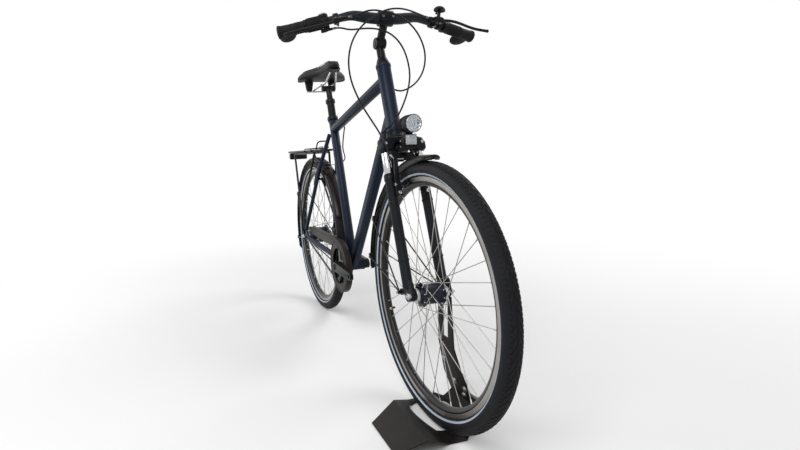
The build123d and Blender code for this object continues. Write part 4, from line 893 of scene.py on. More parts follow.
post = rod("post", (0.0135, 0, 0.1345), (0.0445, 0, 0.1345), 0.0060, 0.0048)
striker = hose("striker", [(0.030, 0, 0.1345), (0.034, 0.008, 0.1300), (0.038, 0.0165, 0.1280),
                           (0.042, 0.0215, 0.1290)], 0.0014, 4)
bpy.ops.object.select_all(action="DESELECT")
bpy.ops.mesh.primitive_uv_sphere_add(segments=16, ring_count=10, radius=0.0032,
                                     location=(0.0425, 0.0218, 0.1292))
knob = smooth(settle(bpy.context.object), 60)
bell = joined("bell_piece", smooth(dome, 50), soften(post, 0.0006), band, striker, knob)
done(settle(bell, left_top), black_plastic, "front", "bell")

# %% [markdown]
# The stem clamps the bar with a faceplate and tilts on a pivot bolt. The polished parts are joined by the bolts
# that the hand would look for: four in the faceplate, one through the pivot. Each is a socket head with a
# sunken hexagon, modelled once.
# %% Socket bolts
def socket_bolt(radius, high):
    """A round head with a hexagonal socket, its seat at the origin."""
    head = turned("bolt", [(0, 0), (radius, 0), (radius, high * 0.85), (radius * 0.86, high),
                           (radius * 0.55, high), (0, high)], origin, 24)
    bpy.ops.object.select_all(action="DESELECT")
    bpy.ops.mesh.primitive_cylinder_add(vertices=6, radius=radius * 0.55, depth=high,
                                        location=(0, 0, high))
    punch = bpy.context.object
    modify(head, "BOOLEAN", operation="DIFFERENCE", object=punch)
    bpy.data.objects.remove(punch)
    return smooth(head, 30)


def bolts(name, radius, high, seats, colour, body):
    """Bolts at (place, outward direction) seats, joined into one piece."""
    made = []
    for place, outside in seats:
        made.append(settle(socket_bolt(radius, high),
                           pointing(place, Vector(place) + Vector(outside))))
    return done(joined(name, *made), colour, body)


run = (stem_clamp - stem_pivot).normalized()
side_way = Vector((run.z, 0, -run.x))
seats = []
for y in (-0.015, 0.015):
    for s in (-1, 1):
        foot = Vector((stem_clamp.x, y, stem_clamp.z)) + side_way * s * 0.0172 + run * 0.0128
        seats.append((steer @ foot, steer.to_3x3() @ run))
bolts("faceplate_bolts", 0.0040, 0.0040, seats, dark_steel, "front")
bolts("pivot_bolts", 0.0070, 0.0040, [(steer @ (stem_pivot + Vector((0, s * 0.0158, 0))),
                                       (0, s, 0)) for s in (-1, 1)],
      dark_steel, "front")
print("stem bolts made")
knuckle = turned("stem_knuckle", [(0, -0.0172), (0.0120, -0.0172), (0.0160, -0.0162),
                                  (0.0178, -0.0135), (0.0180, -0.0060), (0.0172, -0.0045),
                                  (0.0172, 0.0045), (0.0180, 0.0060), (0.0178, 0.0135),
                                  (0.0160, 0.0162), (0.0120, 0.0172), (0, 0.0172)],
                 steer @ Matrix.Translation(stem_pivot) @ Matrix.Rotation(math.radians(90), 4, "X"),
                 56)
done(smooth(knuckle, 40), black_alloy, "front")

# %% [markdown]
# Each cable is a smooth black hose with a metal ferrule where it enters a lever, a brake or a stop. The front
# brake's cable stays on the front. The gear cable and the rear brake's cable run from the bar into the frame;
# they are made in place and ride on no body.
# %% Cables at the front
def near_rear(points):
    """Points measured from below the rear axle, in millimetres, as places in the frame."""
    return [Vector((rear_axle.x + x / 1000, y / 1000, z / 1000)) for x, y, z in points]


def from_lever(side):
    """The first two points of a cable that leaves a lever's adjuster straight."""
    place = lever_frame(side)
    return [place @ Vector((0.024, 0, lever_at[side] + reach)) for reach in (0.0373, 0.058)]


def ferrule(point, towards, length=0.012, radius=0.0034):
    direction = (Vector(towards) - Vector(point)).normalized()
    sleeve = turned("ferrule", [
        (0, 0), (radius * 0.8, 0), (radius, 0.001), (radius, length - 0.001),
        (radius * 0.85, length), (0, length)], origin, 16)
    return settle(smooth(sleeve, 40), pointing(point, Vector(point) + direction))


front_brake_top = steer @ Vector((0.0491, -0.044, 0.380))
front_route = from_lever(1) + near_rear([
    (868, 44, 1146), (883, -16, 1139), (886, -60, 1117), (890, -102, 1088), (892, -131, 1048),
    (892, -144, 1000), (892, -141, 952), (892, -127, 910), (893, -106, 868), (900, -84, 830),
    (916, -69, 797), (936, -64, 770), (945, -58, 748), (951, -52, 731)]) + [front_brake_top]
gear_route = [right_top @ Vector((-0.024, 0, z)) for z in (0.1543, 0.174)] + near_rear([
    (830, -112, 1092), (856, -76, 1092), (873, -38, 1086), (881, -3, 1070), (884, 25, 1040),
    (884, 42, 1000), (886, 48, 955), (890, 38, 912), (899, 18, 872), (909, -4, 840),
    (911, -26, 816), (898, -41, 801), (876, -44, 794), (857, -33, 793), (842, -19.4, 797)])
rear_route = from_lever(-1) + near_rear([
    (864, -62, 1141), (870, -20, 1135), (880, 20, 1123), (886, 54, 1098), (891, 80, 1062),
    (891, 96, 1018), (886, 94, 973), (874, 77, 938), (855, 50, 918), (832, 30, 917),
    (803.5, 17, 935)])
front_cable = hose("front_brake_cable_piece", front_route, 0.0025, 4)
done(front_cable, housing, "front", "front_brake_cable")
tips = [ferrule(front_route[0], front_route[1]), ferrule(gear_route[0], gear_route[1], 0.010),
        ferrule(rear_route[0], rear_route[1])]
done(joined("cable_ferrules", *tips), dark_steel, "front")
for name, route in (("gear_cable", gear_route), ("rear_brake_cable", rear_route)):
    cable = hose(name + "_piece", route, 0.0025, 4)
    cable.data.materials.append(housing)
    end_stop = ferrule(route[-1], route[-2], 0.011)
    end_stop.data.materials.append(dark_steel)
    cable = joined(name + "_piece", cable, end_stop)
    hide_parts(name)
    polished.add(name)
    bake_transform(cable)
print("cables made")

# %% [markdown]
# The fork's crown joins two short chromed legs under the head tube. It is forged: an arch whose underside
# rises between the legs, with every edge rounded by a few millimetres. Here the arch is an outline drawn from
# the front, filled, extruded and bevelled, with a turned ring for the steerer and a sleeve for each leg.
# %% Fork crown
leg_ahead, leg_y = 0.025, 0.052
from_front = Matrix(((0, 0, 1, 0), (1, 0, 0, 0), (0, 1, 0, 0),
                     (0, 0, 0, 1)))  # local X is left, local Y is up
arch = [(0.0665, 0.410), (0.0700, 0.417), (0.0695, 0.432), (0.0610, 0.444), (0.0440, 0.451),
        (0.0200, 0.452)]
under = [(0.022, 0.432), (0.029, 0.424), (0.033, 0.410)]
half_line = arch + [(-y, z) for y, z in reversed(arch)]
half_line += [(-y, z) for y, z in reversed(under)] + under
half_line.append(half_line[0])
crown_place = steer @ Matrix.Translation((leg_ahead - 0.021, 0, 0)) @ from_front
crown = soften(plate("crown", half_line, 0.042, crown_place), 0.0075, 4, 40)
collar = turned("collar", [(0, 0.4130), (0.026, 0.4135), (0.030, 0.4165), (0.0315, 0.422),
                           (0.0315, 0.456), (0.0300, 0.4620), (0.0272, 0.4650), (0.0266, 0.4745),
                           (0, 0.4745)],
                           steer, 56)
sleeves = [soften(turned("sleeve", [(0, 0.4092), (0.0172, 0.4092), (0.0178, 0.411),
                                    (0.0188, 0.440), (0.0170, 0.447), (0, 0.4475)],
                         steer @ Matrix.Translation((leg_ahead, s * leg_y, 0)), 40),
                         0.001) for s in (1, -1)]
crown = joined("fork_crown_piece", crown, smooth(collar), *sleeves)
done(crown, fork_paint, "front", "fork_crown")
bolts("crown_bolts", 0.0042, 0.0036,
      [(steer @ Vector((leg_ahead + 0.0208, s * 0.056, 0.430)),
        steer.to_3x3() @ Vector((1, 0, 0))) for s in (1, -1)],
      steel, "front")
# the bearing's seal ring under the head tube
seal = soften(turned("crown_seal", [
    (0.0150, 0.4720), (0.0258, 0.4720), (0.0262, 0.4730), (0.0262, 0.4746), (0.0150, 0.4746),
    (0.0150, 0.4720)], steer, 48), 0.0002)
done(seal, black_alloy, "front")

# %% [markdown]
# The legs slide on the chromed tubes, so each has a rubber wiper at its top. Its ring has a soft lip that
# touches the chrome.
# %% Wipers and leg details
wipers = []
for s in (1, -1):
    wiper = turned("wiper", [(0.0129, 0.3383), (0.0156, 0.3383), (0.0162, 0.3392),
                             (0.0158, 0.3420), (0.0140, 0.3450), (0.0129, 0.3456),
                             (0.0129, 0.3383)],
                   steer @ Matrix.Translation((leg_ahead, s * leg_y, 0)), 40)
    wipers.append(smooth(wiper, 40))
done(joined("fork_wipers", *wipers), rubber, "front")
clips = []
for s in (1, -1):
    for z in (0.262, 0.100):
        clip = soften(turned("clip", [(0.0146, z - 0.003), (0.0158, z - 0.003),
                                      (0.0158, z + 0.003), (0.0146, z + 0.003),
                                      (0.0146, z - 0.003)],
                                      steer @ Matrix.Translation((leg_ahead, s * leg_y, 0)), 32),
                                      0.0004)
        clips.append(clip)
done(joined("fork_clips", *clips), black_plastic, "front")

# %% [markdown]
# The rim brake has two cast arms, rubber pads with grooves, a bright curved noodle that leads the cable across,
# a ribbed boot over the bare wire and a wire spring behind each arm. The arms keep their measured outline; the
# small pieces are added round them.
# %% Front brake details
def brake_details(name, place, arm_front, boss_y, low, body, cable_end, pad_back, forward=1):
    """Bolts, noodle, boot, springs and pad blocks of one rim brake, in the frame of its posts."""
    top = low + 0.097
    middle = arm_front - forward * 0.0045
    out = place.to_3x3() @ Vector((forward, 0, 0))
    seats = [(place @ Vector((arm_front + forward * 0.0002, s * boss_y, low)), out)
             for s in (1, -1)]
    bolts(name + "_pivot_bolts", 0.0052, 0.0045, seats, steel, body)
    seats = [(place @ Vector((arm_front + forward * 0.0002, 0.0365, top + 0.0005)), out)]
    bolts(name + "_wire_bolt", 0.0042, 0.0050, seats, steel, body)
    seats = [(place @ Vector((middle, s * (boss_y - 0.002 + 0.0065), low + 0.025)),
              place.to_3x3() @ Vector((0, s, 0))) for s in (1, -1)]
    bolts(name + "_pad_nuts", 0.0052, 0.0048, seats, steel, body)
    line = [(middle, 0.014, top), (middle, -0.020, top), (middle, -0.036, top + 0.001),
            (middle, -0.043, top + 0.002)]
    noodle = hose("noodle", [place @ Vector(p) for p in line] + [Vector(p) for p in cable_end],
                  0.0030, 5)
    done(noodle, steel, body).name = name + "_noodle"
    boot = [(0, -0.0125)]
    for k in range(7):
        z = -0.0125 + k * 0.0035
        boot += [(0.0034, z), (0.0046, z + 0.0014), (0.0034, z + 0.0028)]
    boot += [(0, 0.0115)]
    boot = turned("boot", boot, place @ Matrix.Translation((middle, 0, top)) @ lathe_turn, 24)
    done(smooth(boot, 60), rubber, body).name = name + "_boot"
    springs = []
    for s in (1, -1):
        back = arm_front - forward * 0.0105
        line = [(back, s * (boss_y + 0.004), low - 0.004),
                (back, s * (boss_y + 0.005), low + 0.02),
                (back, s * (boss_y + 0.001), low + 0.045),
                (back, s * (boss_y - 0.001), low + 0.066)]
        springs.append(hose("spring", [place @ Vector(p) for p in line], 0.0009, 3))
    done(joined(name + "_springs", *springs), steel, body)
    pads = []
    for s in (1, -1):
        for k in (-0.016, -0.004, 0.008, 0.020):
            groove = block("groove", (0.0028, 0.0094, 0.0118),
                           place @ Matrix.Translation((pad_back + k, s * 0.0192, low + 0.025)),
                           0.0006)
            pads.append(groove)
    done(joined(name + "_pad_ribs", *pads), rubber, body)


brake_details("front_brake", steer, 0.0536, 0.042, 0.283, "front", [front_route[-2]],
              leg_ahead + 0.012)
print("front brake detailed")

# %% [markdown]
# A fender is a thin strip of plastic with a rounded section, rolled edges and rounded ends. Its section is
# spun through part of a turn, narrowed towards each end, and then given its wall with Solidify. A bead runs
# round the front end, where a real fender is thickest.
# %% Fenders
fender_base = wheel_radius + 0.014 - 0.012
section_line = [(-0.0272, 0.0008), (-0.0268, 0.0030), (-0.0248, 0.0058), (-0.0205, 0.0088),
                (-0.0140, 0.0112), (-0.0060, 0.0125), (0, 0.0130)]
section_line += [(-y, r) for y, r in reversed(section_line[:-1])]


def fender(name, hub_frame, first, last, round_front, round_back):
    obj = corner()
    draw([(fender_base + r, 0, y) for y, r in section_line])
    bpy.ops.mesh.select_all(action="SELECT")
    steps = int((last - first) * 2)
    bpy.ops.mesh.spin(steps=steps, angle=math.radians(last - first), center=(0, 0, 0),
                      axis=(0, 0, 1))
    bpy.ops.object.mode_set(mode="OBJECT")
    obj.name = name
    for v in obj.data.vertices:
        turn = math.degrees(math.atan2(-v.co.y, v.co.x)) % 360
        for gap, radius in ((turn, round_front), (last - first - turn, round_back)):
            reach = math.radians(gap) * (fender_base + 0.010)
            if 0 <= reach < radius:
                wide = 0.0272 - radius + math.sqrt(radius ** 2 - (radius - reach) ** 2)
                v.co.z *= max(wide, 0.004) / 0.0272
    outward(obj)
    settle(obj, hub_frame @ Matrix.Rotation(math.radians(-first), 4, "Z"))
    return smooth(modify(obj, "SOLIDIFY", thickness=0.0020, offset=0), 45)


def fender_point(axle, turn, y, r):
    a = math.radians(turn)
    return Vector((axle.x + (fender_base + r) * math.cos(a), y,
                   axle.z + (fender_base + r) * math.sin(a)))


def fender_bead(name, axle, first, radius, back=False):
    """A rolled edge round one end of a fender."""
    way = -1 if back else 1
    line = []
    for k in range(13):
        turn = math.radians(-90 + 15 * k)
        y = (0.0272 - radius) * math.sin(turn) + radius * math.sin(turn)
        reach = radius * (1 - math.cos(turn)) if abs(math.degrees(turn)) > 5 else 0
        share = abs(y) / 0.0272
        r = 0.0130 - 0.0125 * share ** 2.4
        line.append(fender_point(axle, first + way * math.degrees(reach / (fender_base + 0.01)), y,
                                 r))
    return hose(name, line, 0.0021, 5)


front_fender = fender("front_fender_piece", front_hub_frame, 85.5, 181, 0.026, 0.012)
bead = fender_bead("bead", front_axle, 85.5, 0.026)
done(joined("front_fender_piece", front_fender, bead), fender_plastic, "front", "front_fender")
rear_fender = fender("rear_fender_piece", rear_hub_frame, 20, 200, 0.010, 0.020)
bead = fender_bead("bead", rear_axle, 200, 0.020, True)
done(joined("rear_fender_piece", rear_fender, bead), fender_plastic, "frame", "rear_fender")
print("fenders made")

# %% [markdown]
# Thin steel stays hold each fender. Each ends in a small clip with a screw on the fender's edge, and in an
# eyelet with a bolt at the fork or the frame.
# %% Fender clips
def clips_on(name, axle, turns, body):
    made, seats = [], []
    for turn in turns:
        for s in (1, -1):
            spot = fender_point(axle, turn, s * 0.0290, 0.0015)
            turn_place = Matrix.Translation(spot) @ Matrix.Rotation(math.radians(-turn), 4, "Y")
            made.append(block("clip", (0.014, 0.0062, 0.017), turn_place, 0.0018))
            seats.append((spot + Vector((0, s * 0.0030, 0)), (0, s, 0)))
    done(joined(name + "_clips", *made), black_plastic, body)
    bolts(name + "_screws", 0.0028, 0.0018, seats, steel, body)


clips_on("front_fender", front_axle, (174, 152), "front")
clips_on("rear_fender", rear_axle, (150, 190), "frame")
eye_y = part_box("front_fender_stays")[1].y - 0.0002
eyelet = steer @ Vector((-0.013, 0, 0.016))
bolts("front_eyelet_bolts", 0.0046, 0.0036, [((eyelet.x, s * eye_y, eyelet.z),
                                              (0, s, 0)) for s in (1, -1)],
      steel, "front")
tab = [(-0.010, 0.4085), (0.010, 0.4085), (0.010, 0.3860), (-0.010, 0.3860), (-0.010, 0.4085)]
tab = soften(plate("fender_tab", tab, 0.0020, steer @ Matrix.Translation((0.006, 0,
        0)) @ from_front), 0.0004)
done(tab, black_steel, "front")
bolts("fender_tab_bolt", 0.0048, 0.0040, [(steer @ Vector((0.0082, 0, 0.398)),
                                           steer.to_3x3() @ Vector((1, 0, 0)))],
      steel, "front")

# %% [markdown]
# The lamp is a black cone with a clear round front. Behind the glass sits a bright dish cut into facets, so it
# sparkles unevenly. The dish is turned with few steps and shaded flat, and the glass in front has a shallow
# pattern of lens ridges in its bump.
# %% Headlight
lens_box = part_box("headlight_lens")
face_x, lamp_z = lens_box[0].x, (lens_box[0].z + lens_box[1].z) / 2
ahead = Matrix.Translation((face_x, 0, lamp_z)) @ Matrix.Rotation(math.radians(90), 4, "Y")
shell_line = [(0, -0.0620), (0.0110, -0.0618), (0.0150, -0.0595), (0.0168, -0.0560),
              (0.0200, -0.0420), (0.0232, -0.0260), (0.0246, -0.0180), (0.0250, -0.0120),
              (0.0250, 0.0020), (0.0244, 0.0030), (0.0236, 0.0030), (0.0234, -0.0010),
              (0, -0.0010)]
lamp_shell = smooth(turned("lamp_shell", shell_line, ahead, 64), 32)
fins = []
for k in range(5):
    fin = turned("fin", [(0.0180 + 0.0011 * k, -0.0500 + 0.0052 * k),
                         (0.0212 + 0.0009 * k, -0.0496 + 0.0052 * k),
                         (0.0212 + 0.0009 * k, -0.0484 + 0.0052 * k),
                         (0.0180 + 0.0011 * k, -0.0480 + 0.0052 * k)],
                 ahead, 48)
    fins.append(smooth(fin, 40))
neck = rod("neck", (face_x - 0.030, 0, lamp_z - 0.018), (face_x - 0.030, 0, lamp_z - 0.040), 0.0075,
           0.0065)
knuckle = rod("knuckle", (face_x - 0.030, -0.011, lamp_z - 0.030),
              (face_x - 0.030, 0.011, lamp_z - 0.030), 0.0085)
lamp_piece = joined("headlight_piece", lamp_shell, soften(neck, 0.0008), soften(knuckle, 0.001),
                    *fins)
done(lamp_piece, black_plastic, "front", "headlight")
dish_metal = finish("dish_metal", (0.62, 0.64, 0.66), 0.12, 1.0, 300, 0.001, 0.25, 0, 0.06, 0.5)


def faceted(made, scale, strength, distance):
    """Adds cell-shaped facets to a finish's bump."""
    nodes, links = made.node_tree.nodes, made.node_tree.links
    cells = nodes.new("ShaderNodeTexVoronoi")
    cells.inputs["Scale"].default_value = scale
    bump = nodes.new("ShaderNodeBump")
    bump.inputs["Strength"].default_value, bump.inputs["Distance"].default_value = strength, distance
    where = next(n for n in nodes if n.type == "TEX_COORD")
    links.new(where.outputs["Object"], cells.inputs["Vector"])
    links.new(cells.outputs["Distance"], bump.inputs["Height"])
    links.new(bump.outputs["Normal"], nodes["Principled BSDF"].inputs["Normal"])
    return made


faceted(dish_metal, 150, 0.5, 0.003)
dish = turned("lamp_dish", [(0.0232, 0.0000), (0.0205, -0.0006), (0.0170, -0.0004),
                            (0.0125, 0.0004), (0.0080, 0.0002), (0.0050, 0.0008), (0.0030, 0.0022),
                            (0, 0.0026)],
                            ahead @ Matrix.Translation((0, 0, -0.0004)), 16)
done(dish, dish_metal, "front")
lens_glass = finish("lens_glass", (0.80, 0.83, 0.86), 0.05, 0, 200, 0.001, 0.06, 0, 0.02, 0.5)
lens_glass.node_tree.nodes["Principled BSDF"].inputs["Transmission Weight"].default_value = 0.92
faceted(lens_glass, 170, 0.2, 0.001)
lens = turned("headlight_lens_piece", [(0, 0.0052), (0.0234, 0.0032), (0.0236, 0.0044),
                                       (0.0225, 0.0064), (0.0180, 0.0086), (0.0100, 0.0098),
                                       (0, 0.0100)], ahead, 56)
done(smooth(lens, 40), lens_glass, "front", "headlight_lens")
rim_ring = turned("lamp_rim", [(0.0232, 0.0025), (0.0249, 0.0025), (0.0250, 0.0050),
                               (0.0240, 0.0062), (0.0232, 0.0060), (0.0232, 0.0025)], ahead, 64)
done(smooth(rim_ring, 40), black_plastic, "front")

# %% [markdown]
# Under the lamp a square white reflector is clipped to the bracket. A reflector is full of tiny corner cubes,
# so it looks grey and glittery. Its front has a raised frame.
# %% Reflector and bracket
reflector_grey = finish("reflector_grey", (0.42, 0.46, 0.48), 0.16, 0.35, 900, 0.01, 0.3, 0.3, 0.08,
                        0.5)
faceted(reflector_grey, 420, 0.8, 0.002)
seat_x = face_x - 0.023
panel = block("front_reflector_piece", (0.0065, 0.033, 0.028),
              Matrix.Translation((seat_x + 0.0043, 0.003, 0.7690)), 0.0022)
done(panel, reflector_grey, "front", "front_reflector")
bezel = block("reflector_frame", (0.0055, 0.036, 0.031),
              Matrix.Translation((seat_x + 0.0027, 0.003, 0.7690)), 0.0022)
done(bezel, black_plastic, "front")
upright = block("upright", (0.020, 0.026, 0.038), Matrix.Translation((seat_x - 0.0105, 0, 0.7620)),
                0.0035)
foot = block("foot", (0.046, 0.034, 0.009), Matrix.Translation((seat_x - 0.022, 0, 0.7455)), 0.0025)
cheeks = [block("cheek", (0.030, 0.0035, 0.034),
                Matrix.Translation((seat_x - 0.014, s * 0.0165, 0.7560)), 0.0012)
          for s in (1, -1)]
arm_start, arm_end = Vector((seat_x - 0.020, 0, 0.746)), steer @ Vector((0.044, 0, 0.424))
reach = rod("reach", arm_start, arm_end, 0.0090, 0.0105, 16)
bracket = joined("headlight_bracket_piece", upright, foot, *cheeks, soften(reach, 0.001))
done(bracket, black_plastic, "front", "headlight_bracket")
seats = [(Vector((seat_x - 0.016, s * 0.0182, z)), (0, s, 0)) for s in (1, -1) for z in (0.750,
        0.766)]
bolts("bracket_screws", 0.0030, 0.0024, seats, steel, "front")
wire = hose("lamp_wire", [(face_x - 0.055, 0.004, lamp_z - 0.012),
                          (face_x - 0.066, 0.010, lamp_z - 0.030),
                          (face_x - 0.060, 0.019, 0.768), (face_x - 0.046, 0.021, 0.750),
                          tuple(steer @ Vector((0.048, 0.030, 0.416)))], 0.0013, 4)
done(wire, rubber, "front")
print("lamp made")

# %% [markdown]
# A comfort saddle is a moulded shell with gel padding under a soft, grained cover. Wide wings carry the weight
# and a narrow nose stays between the legs. Its shape is one surface laid out as cross-sections: each row below
# gives the half width, the height of the top, how far the sides hang, and how much the middle dips. The cover
# is then pressed out a little from inside, as its padding does, which rounds every edge softly.
# %% Saddle form
saddle_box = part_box("saddle")
saddle_back, saddle_nose = saddle_box[0].x, saddle_box[1].x


def saddle_x(share):
    """The place along the saddle for a share of its length, from the back."""
    return saddle_back + share * (saddle_nose - saddle_back)


# share of the length, half width, top of the middle, lower edge, dip in the middle
rows = [(0.000, 0.040, 1.0860, 1.0660, 0.0010), (0.030, 0.072, 1.0910, 1.0560, 0.0030),
        (0.090, 0.096, 1.0940, 1.0530, 0.0050), (0.180, 0.1065, 1.0960, 1.0520, 0.0062),
        (0.270, 0.1085, 1.0970, 1.0530, 0.0062), (0.360, 0.1000, 1.0975, 1.0550, 0.0058),
        (0.440, 0.0800, 1.0980, 1.0580, 0.0050), (0.520, 0.0585, 1.0990, 1.0620, 0.0040),
        (0.600, 0.0440, 1.1010, 1.0650, 0.0030), (0.700, 0.0345, 1.1035, 1.0670, 0.0020),
        (0.800, 0.0305, 1.1050, 1.0680, 0.0012), (0.890, 0.0285, 1.1050, 1.0690, 0.0004),
        (0.955, 0.0240, 1.1030, 1.0700, 0.0000), (1.000, 0.0130, 1.0950, 1.0760, 0.0000)]


def wing_drop(half):
    """How far the edge of the top lies under its middle, for a half width."""
    return 0.015 * max(0.0, (half - 0.03) / 0.078)


def saddle_ring(share, half, top, low, dip):
    """One closed cross-section, from the middle of the top round the side to the middle below."""
    x = saddle_x(share)
    drop = wing_drop(half)
    side = [(0, top - dip), (0.22, top - dip * 0.7), (0.45, top - 0.0002),
            (0.66, top - drop * 0.25 - 0.0008),
            (0.84, top - drop * 0.70 - 0.0040), (0.96, top - drop - 0.0110),
            (1.00, top - drop - 0.0190),
            (0.985, max(low + 0.004, top - drop - 0.0280)), (0.93, low), (0.86, low + 0.0030),
            (0.76, low + 0.0090),
            (0.45, low + 0.0120), (0, low + 0.0130)]
    ring = [(x, half * u, z) for u, z in side]
    return ring + [(x, -y, z) for x, y, z in reversed(ring[1:-1])]


saddle_piece = skinned("saddle_cover", [saddle_ring(*row) for row in rows], True)
modify(saddle_piece, "SUBSURF", levels=2, render_levels=2)
modify(saddle_piece, "REMESH", mode="VOXEL", voxel_size=0.0045)
modify(saddle_piece, "SMOOTH", factor=0.5, iterations=4)
print("saddle form of", len(saddle_piece.data.vertices), "points")

# %% [markdown]
# Cloth pressure pushes the cover out, as the padding does. Left alone it moves the cover by 8 mm in the middle of
# its range and by 27 mm at most, far more than a firm saddle, so every point is held to 3 mm. Nearly all of them
# reach that limit, so what is left is an almost even push.
# %% Saddle padding
before = [v.co.copy() for v in saddle_piece.data.vertices]
only(saddle_piece)
cloth = saddle_piece.modifiers.new("cloth", "CLOTH")
cloth.settings.use_pressure = True
cloth.settings.uniform_pressure_force = 4
cloth.settings.effector_weights.gravity = 0
cloth.settings.quality = 4
cloth.settings.mass = 0.3
cloth.settings.tension_stiffness = 15
cloth.settings.compression_stiffness = 15
cloth.settings.bending_stiffness = 0.5
cloth.collision_settings.use_collision = False
cloth.point_cache.frame_start, cloth.point_cache.frame_end = 1, 20
for frame_number in range(1, 21):
    bpy.context.scene.frame_set(frame_number)
bpy.ops.object.modifier_apply(modifier="cloth")
bpy.context.scene.frame_set(1)
moved = 0
for v, old in zip(saddle_piece.data.vertices, before):
    shift = v.co - old
    if shift.length > 0.003:
        v.co = old + shift.normalized() * 0.003
    moved = max(moved, (v.co - old).length)
print("padding moved the cover by up to", round(moved * 1000, 1), "mm")
modify(saddle_piece, "SUBSURF", levels=1, render_levels=1)
smooth(saddle_piece, 80)
saddle_cover = finish("saddle_cover", (0.0085, 0.0082, 0.0085), 0.55, 0, 1300, 0.05, 0.22, 0.0, 0.1,
                      0.3)
done(saddle_piece, saddle_cover, "frame", "saddle")

# %% [markdown]
# A stitched seam runs round the cover, and the shell's edge shows below it as a smooth black rim. The rails are
# bent steel rods that carry the saddle on the post's clamp, and two rubber blocks support the wings.
# %% Seam, base, rails and blocks
def rim_at(row, lower):
    share, half, top, low, dip = row
    return (saddle_x(share), half * 0.955, low + lower)


edge = [rim_at(row, 0.0035) for row in rows]
loop = [(edge[0][0] - 0.002, 0, edge[0][2])] + edge + [(edge[-1][0] + 0.002, 0, edge[-1][2])]
loop += [(x, -y, z) for x, y, z in reversed(edge)]
rim_band = hose("saddle_rim", loop, 0.0024, 4, True)
done(rim_band, black_plastic, "frame")
seam_line = []
for share, half, top, low, dip in rows[1:-1]:
    drop = wing_drop(half)
    seam_line.append((saddle_x(share), half * 0.74,
                      top - drop * 0.42 - 0.0012))
pipings = [hose("piping", [(x, s * y, z + 0.0016) for x, y, z in seam_line], 0.0009, 3)
           for s in (1, -1)]
done(joined("saddle_seams", *pipings), saddle_cover, "frame")
shell = []
for share, half, top, low, dip in rows[1:-1]:
    shell.append((share, half * 0.86, low + 0.006, low + 0.001))
shell_rings = []
for share, half, high, low in shell:
    x = saddle_x(share)
    shell_rings.append([(x, half * u, low + (high - low) * h) for u, h in
                        ((1, 0.5), (0.9, 1), (0, 1.3), (-0.9, 1), (-1, 0.5), (-0.8, 0), (0, 0.5),
                         (0.8, 0))])
under_shell = skinned("saddle_shell", shell_rings)
done(smooth(modify(under_shell, "SUBSURF", levels=1, render_levels=1), 60), black_plastic, "frame")
springs_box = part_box("saddle_springs")
spring_x = (springs_box[0].x + springs_box[1].x) / 2
blocks = []
for s in (1, -1):
    y = s * (springs_box[1].y - 0.017)
    low_z, high_z = springs_box[0].z, springs_box[1].z
    tall = high_z - low_z
    line = [(0, 0), (0.0100, 0), (0.0118, 0.0015), (0.0122, 0.006)]
    for k in range(4):
        z = 0.007 + k * (tall - 0.016) / 4
        r = 0.0125 + 0.0013 * k
        line += [(r, z), (r + 0.0020, z + 0.0028), (r + 0.0020, z + 0.0062),
                 (r + 0.0003, z + 0.0086)]
    line += [(0.0190, tall - 0.007), (0.0200, tall - 0.002), (0.0190, tall), (0, tall)]
    blocks.append(smooth(turned("block", line, Matrix.Translation((spring_x, y, low_z)), 40), 50))
done(joined("saddle_springs_piece", *blocks), rubber, "frame", "saddle_springs")
bolts("saddle_block_bolts", 0.0055, 0.0040,
      [((spring_x, s * (springs_box[1].y - 0.017), springs_box[0].z), (0, 0, -1)) for s in (1, -1)],
      steel, "frame")
print("saddle made")

# %% [markdown]
# The chain is a bushing chain with a 12.7 mm pitch. One pair of links is made, two waisted side plates and two
# pins, and it is copied along the path round the chainring and the sprocket.
# %% Chain
crank_place = Vector((rear_axle.x + 0.463, 0, 0.306))
chain_y = -0.048


def chain_path(step):
    """Even places along the chain's loop round its two wheels."""
    a, ra = Vector((crank_place.x, crank_place.z)), 0.0893
    b, rb = Vector((rear_axle.x, rear_axle.z)), 0.0408
    gap = b - a
    tilt, lean = math.atan2(gap.y, gap.x), math.acos((ra - rb) / gap.length)
    line = []
    for centre, radius, first, last in ((a, ra, tilt + lean, tilt - lean + 2 * math.pi),
                                        (b, rb, tilt - lean, tilt + lean)):
        for k in range(61):
            turn = first + (last - first) * k / 60
            line.append(centre + radius * Vector((math.cos(turn), math.sin(turn))))
    line.append(line[0])
    lengths = [(q - p).length for p, q in zip(line, line[1:])]
    total = sum(lengths)
    count = 2 * round(total / step / 2)
    spots, k, walked = [], 0, 0.0
    for n in range(count):
        want = total * n / count
        while walked + lengths[k] < want:
            walked += lengths[k]
            k += 1
        spots.append(line[k].lerp(line[k + 1], (want - walked) / lengths[k]))
    return spots


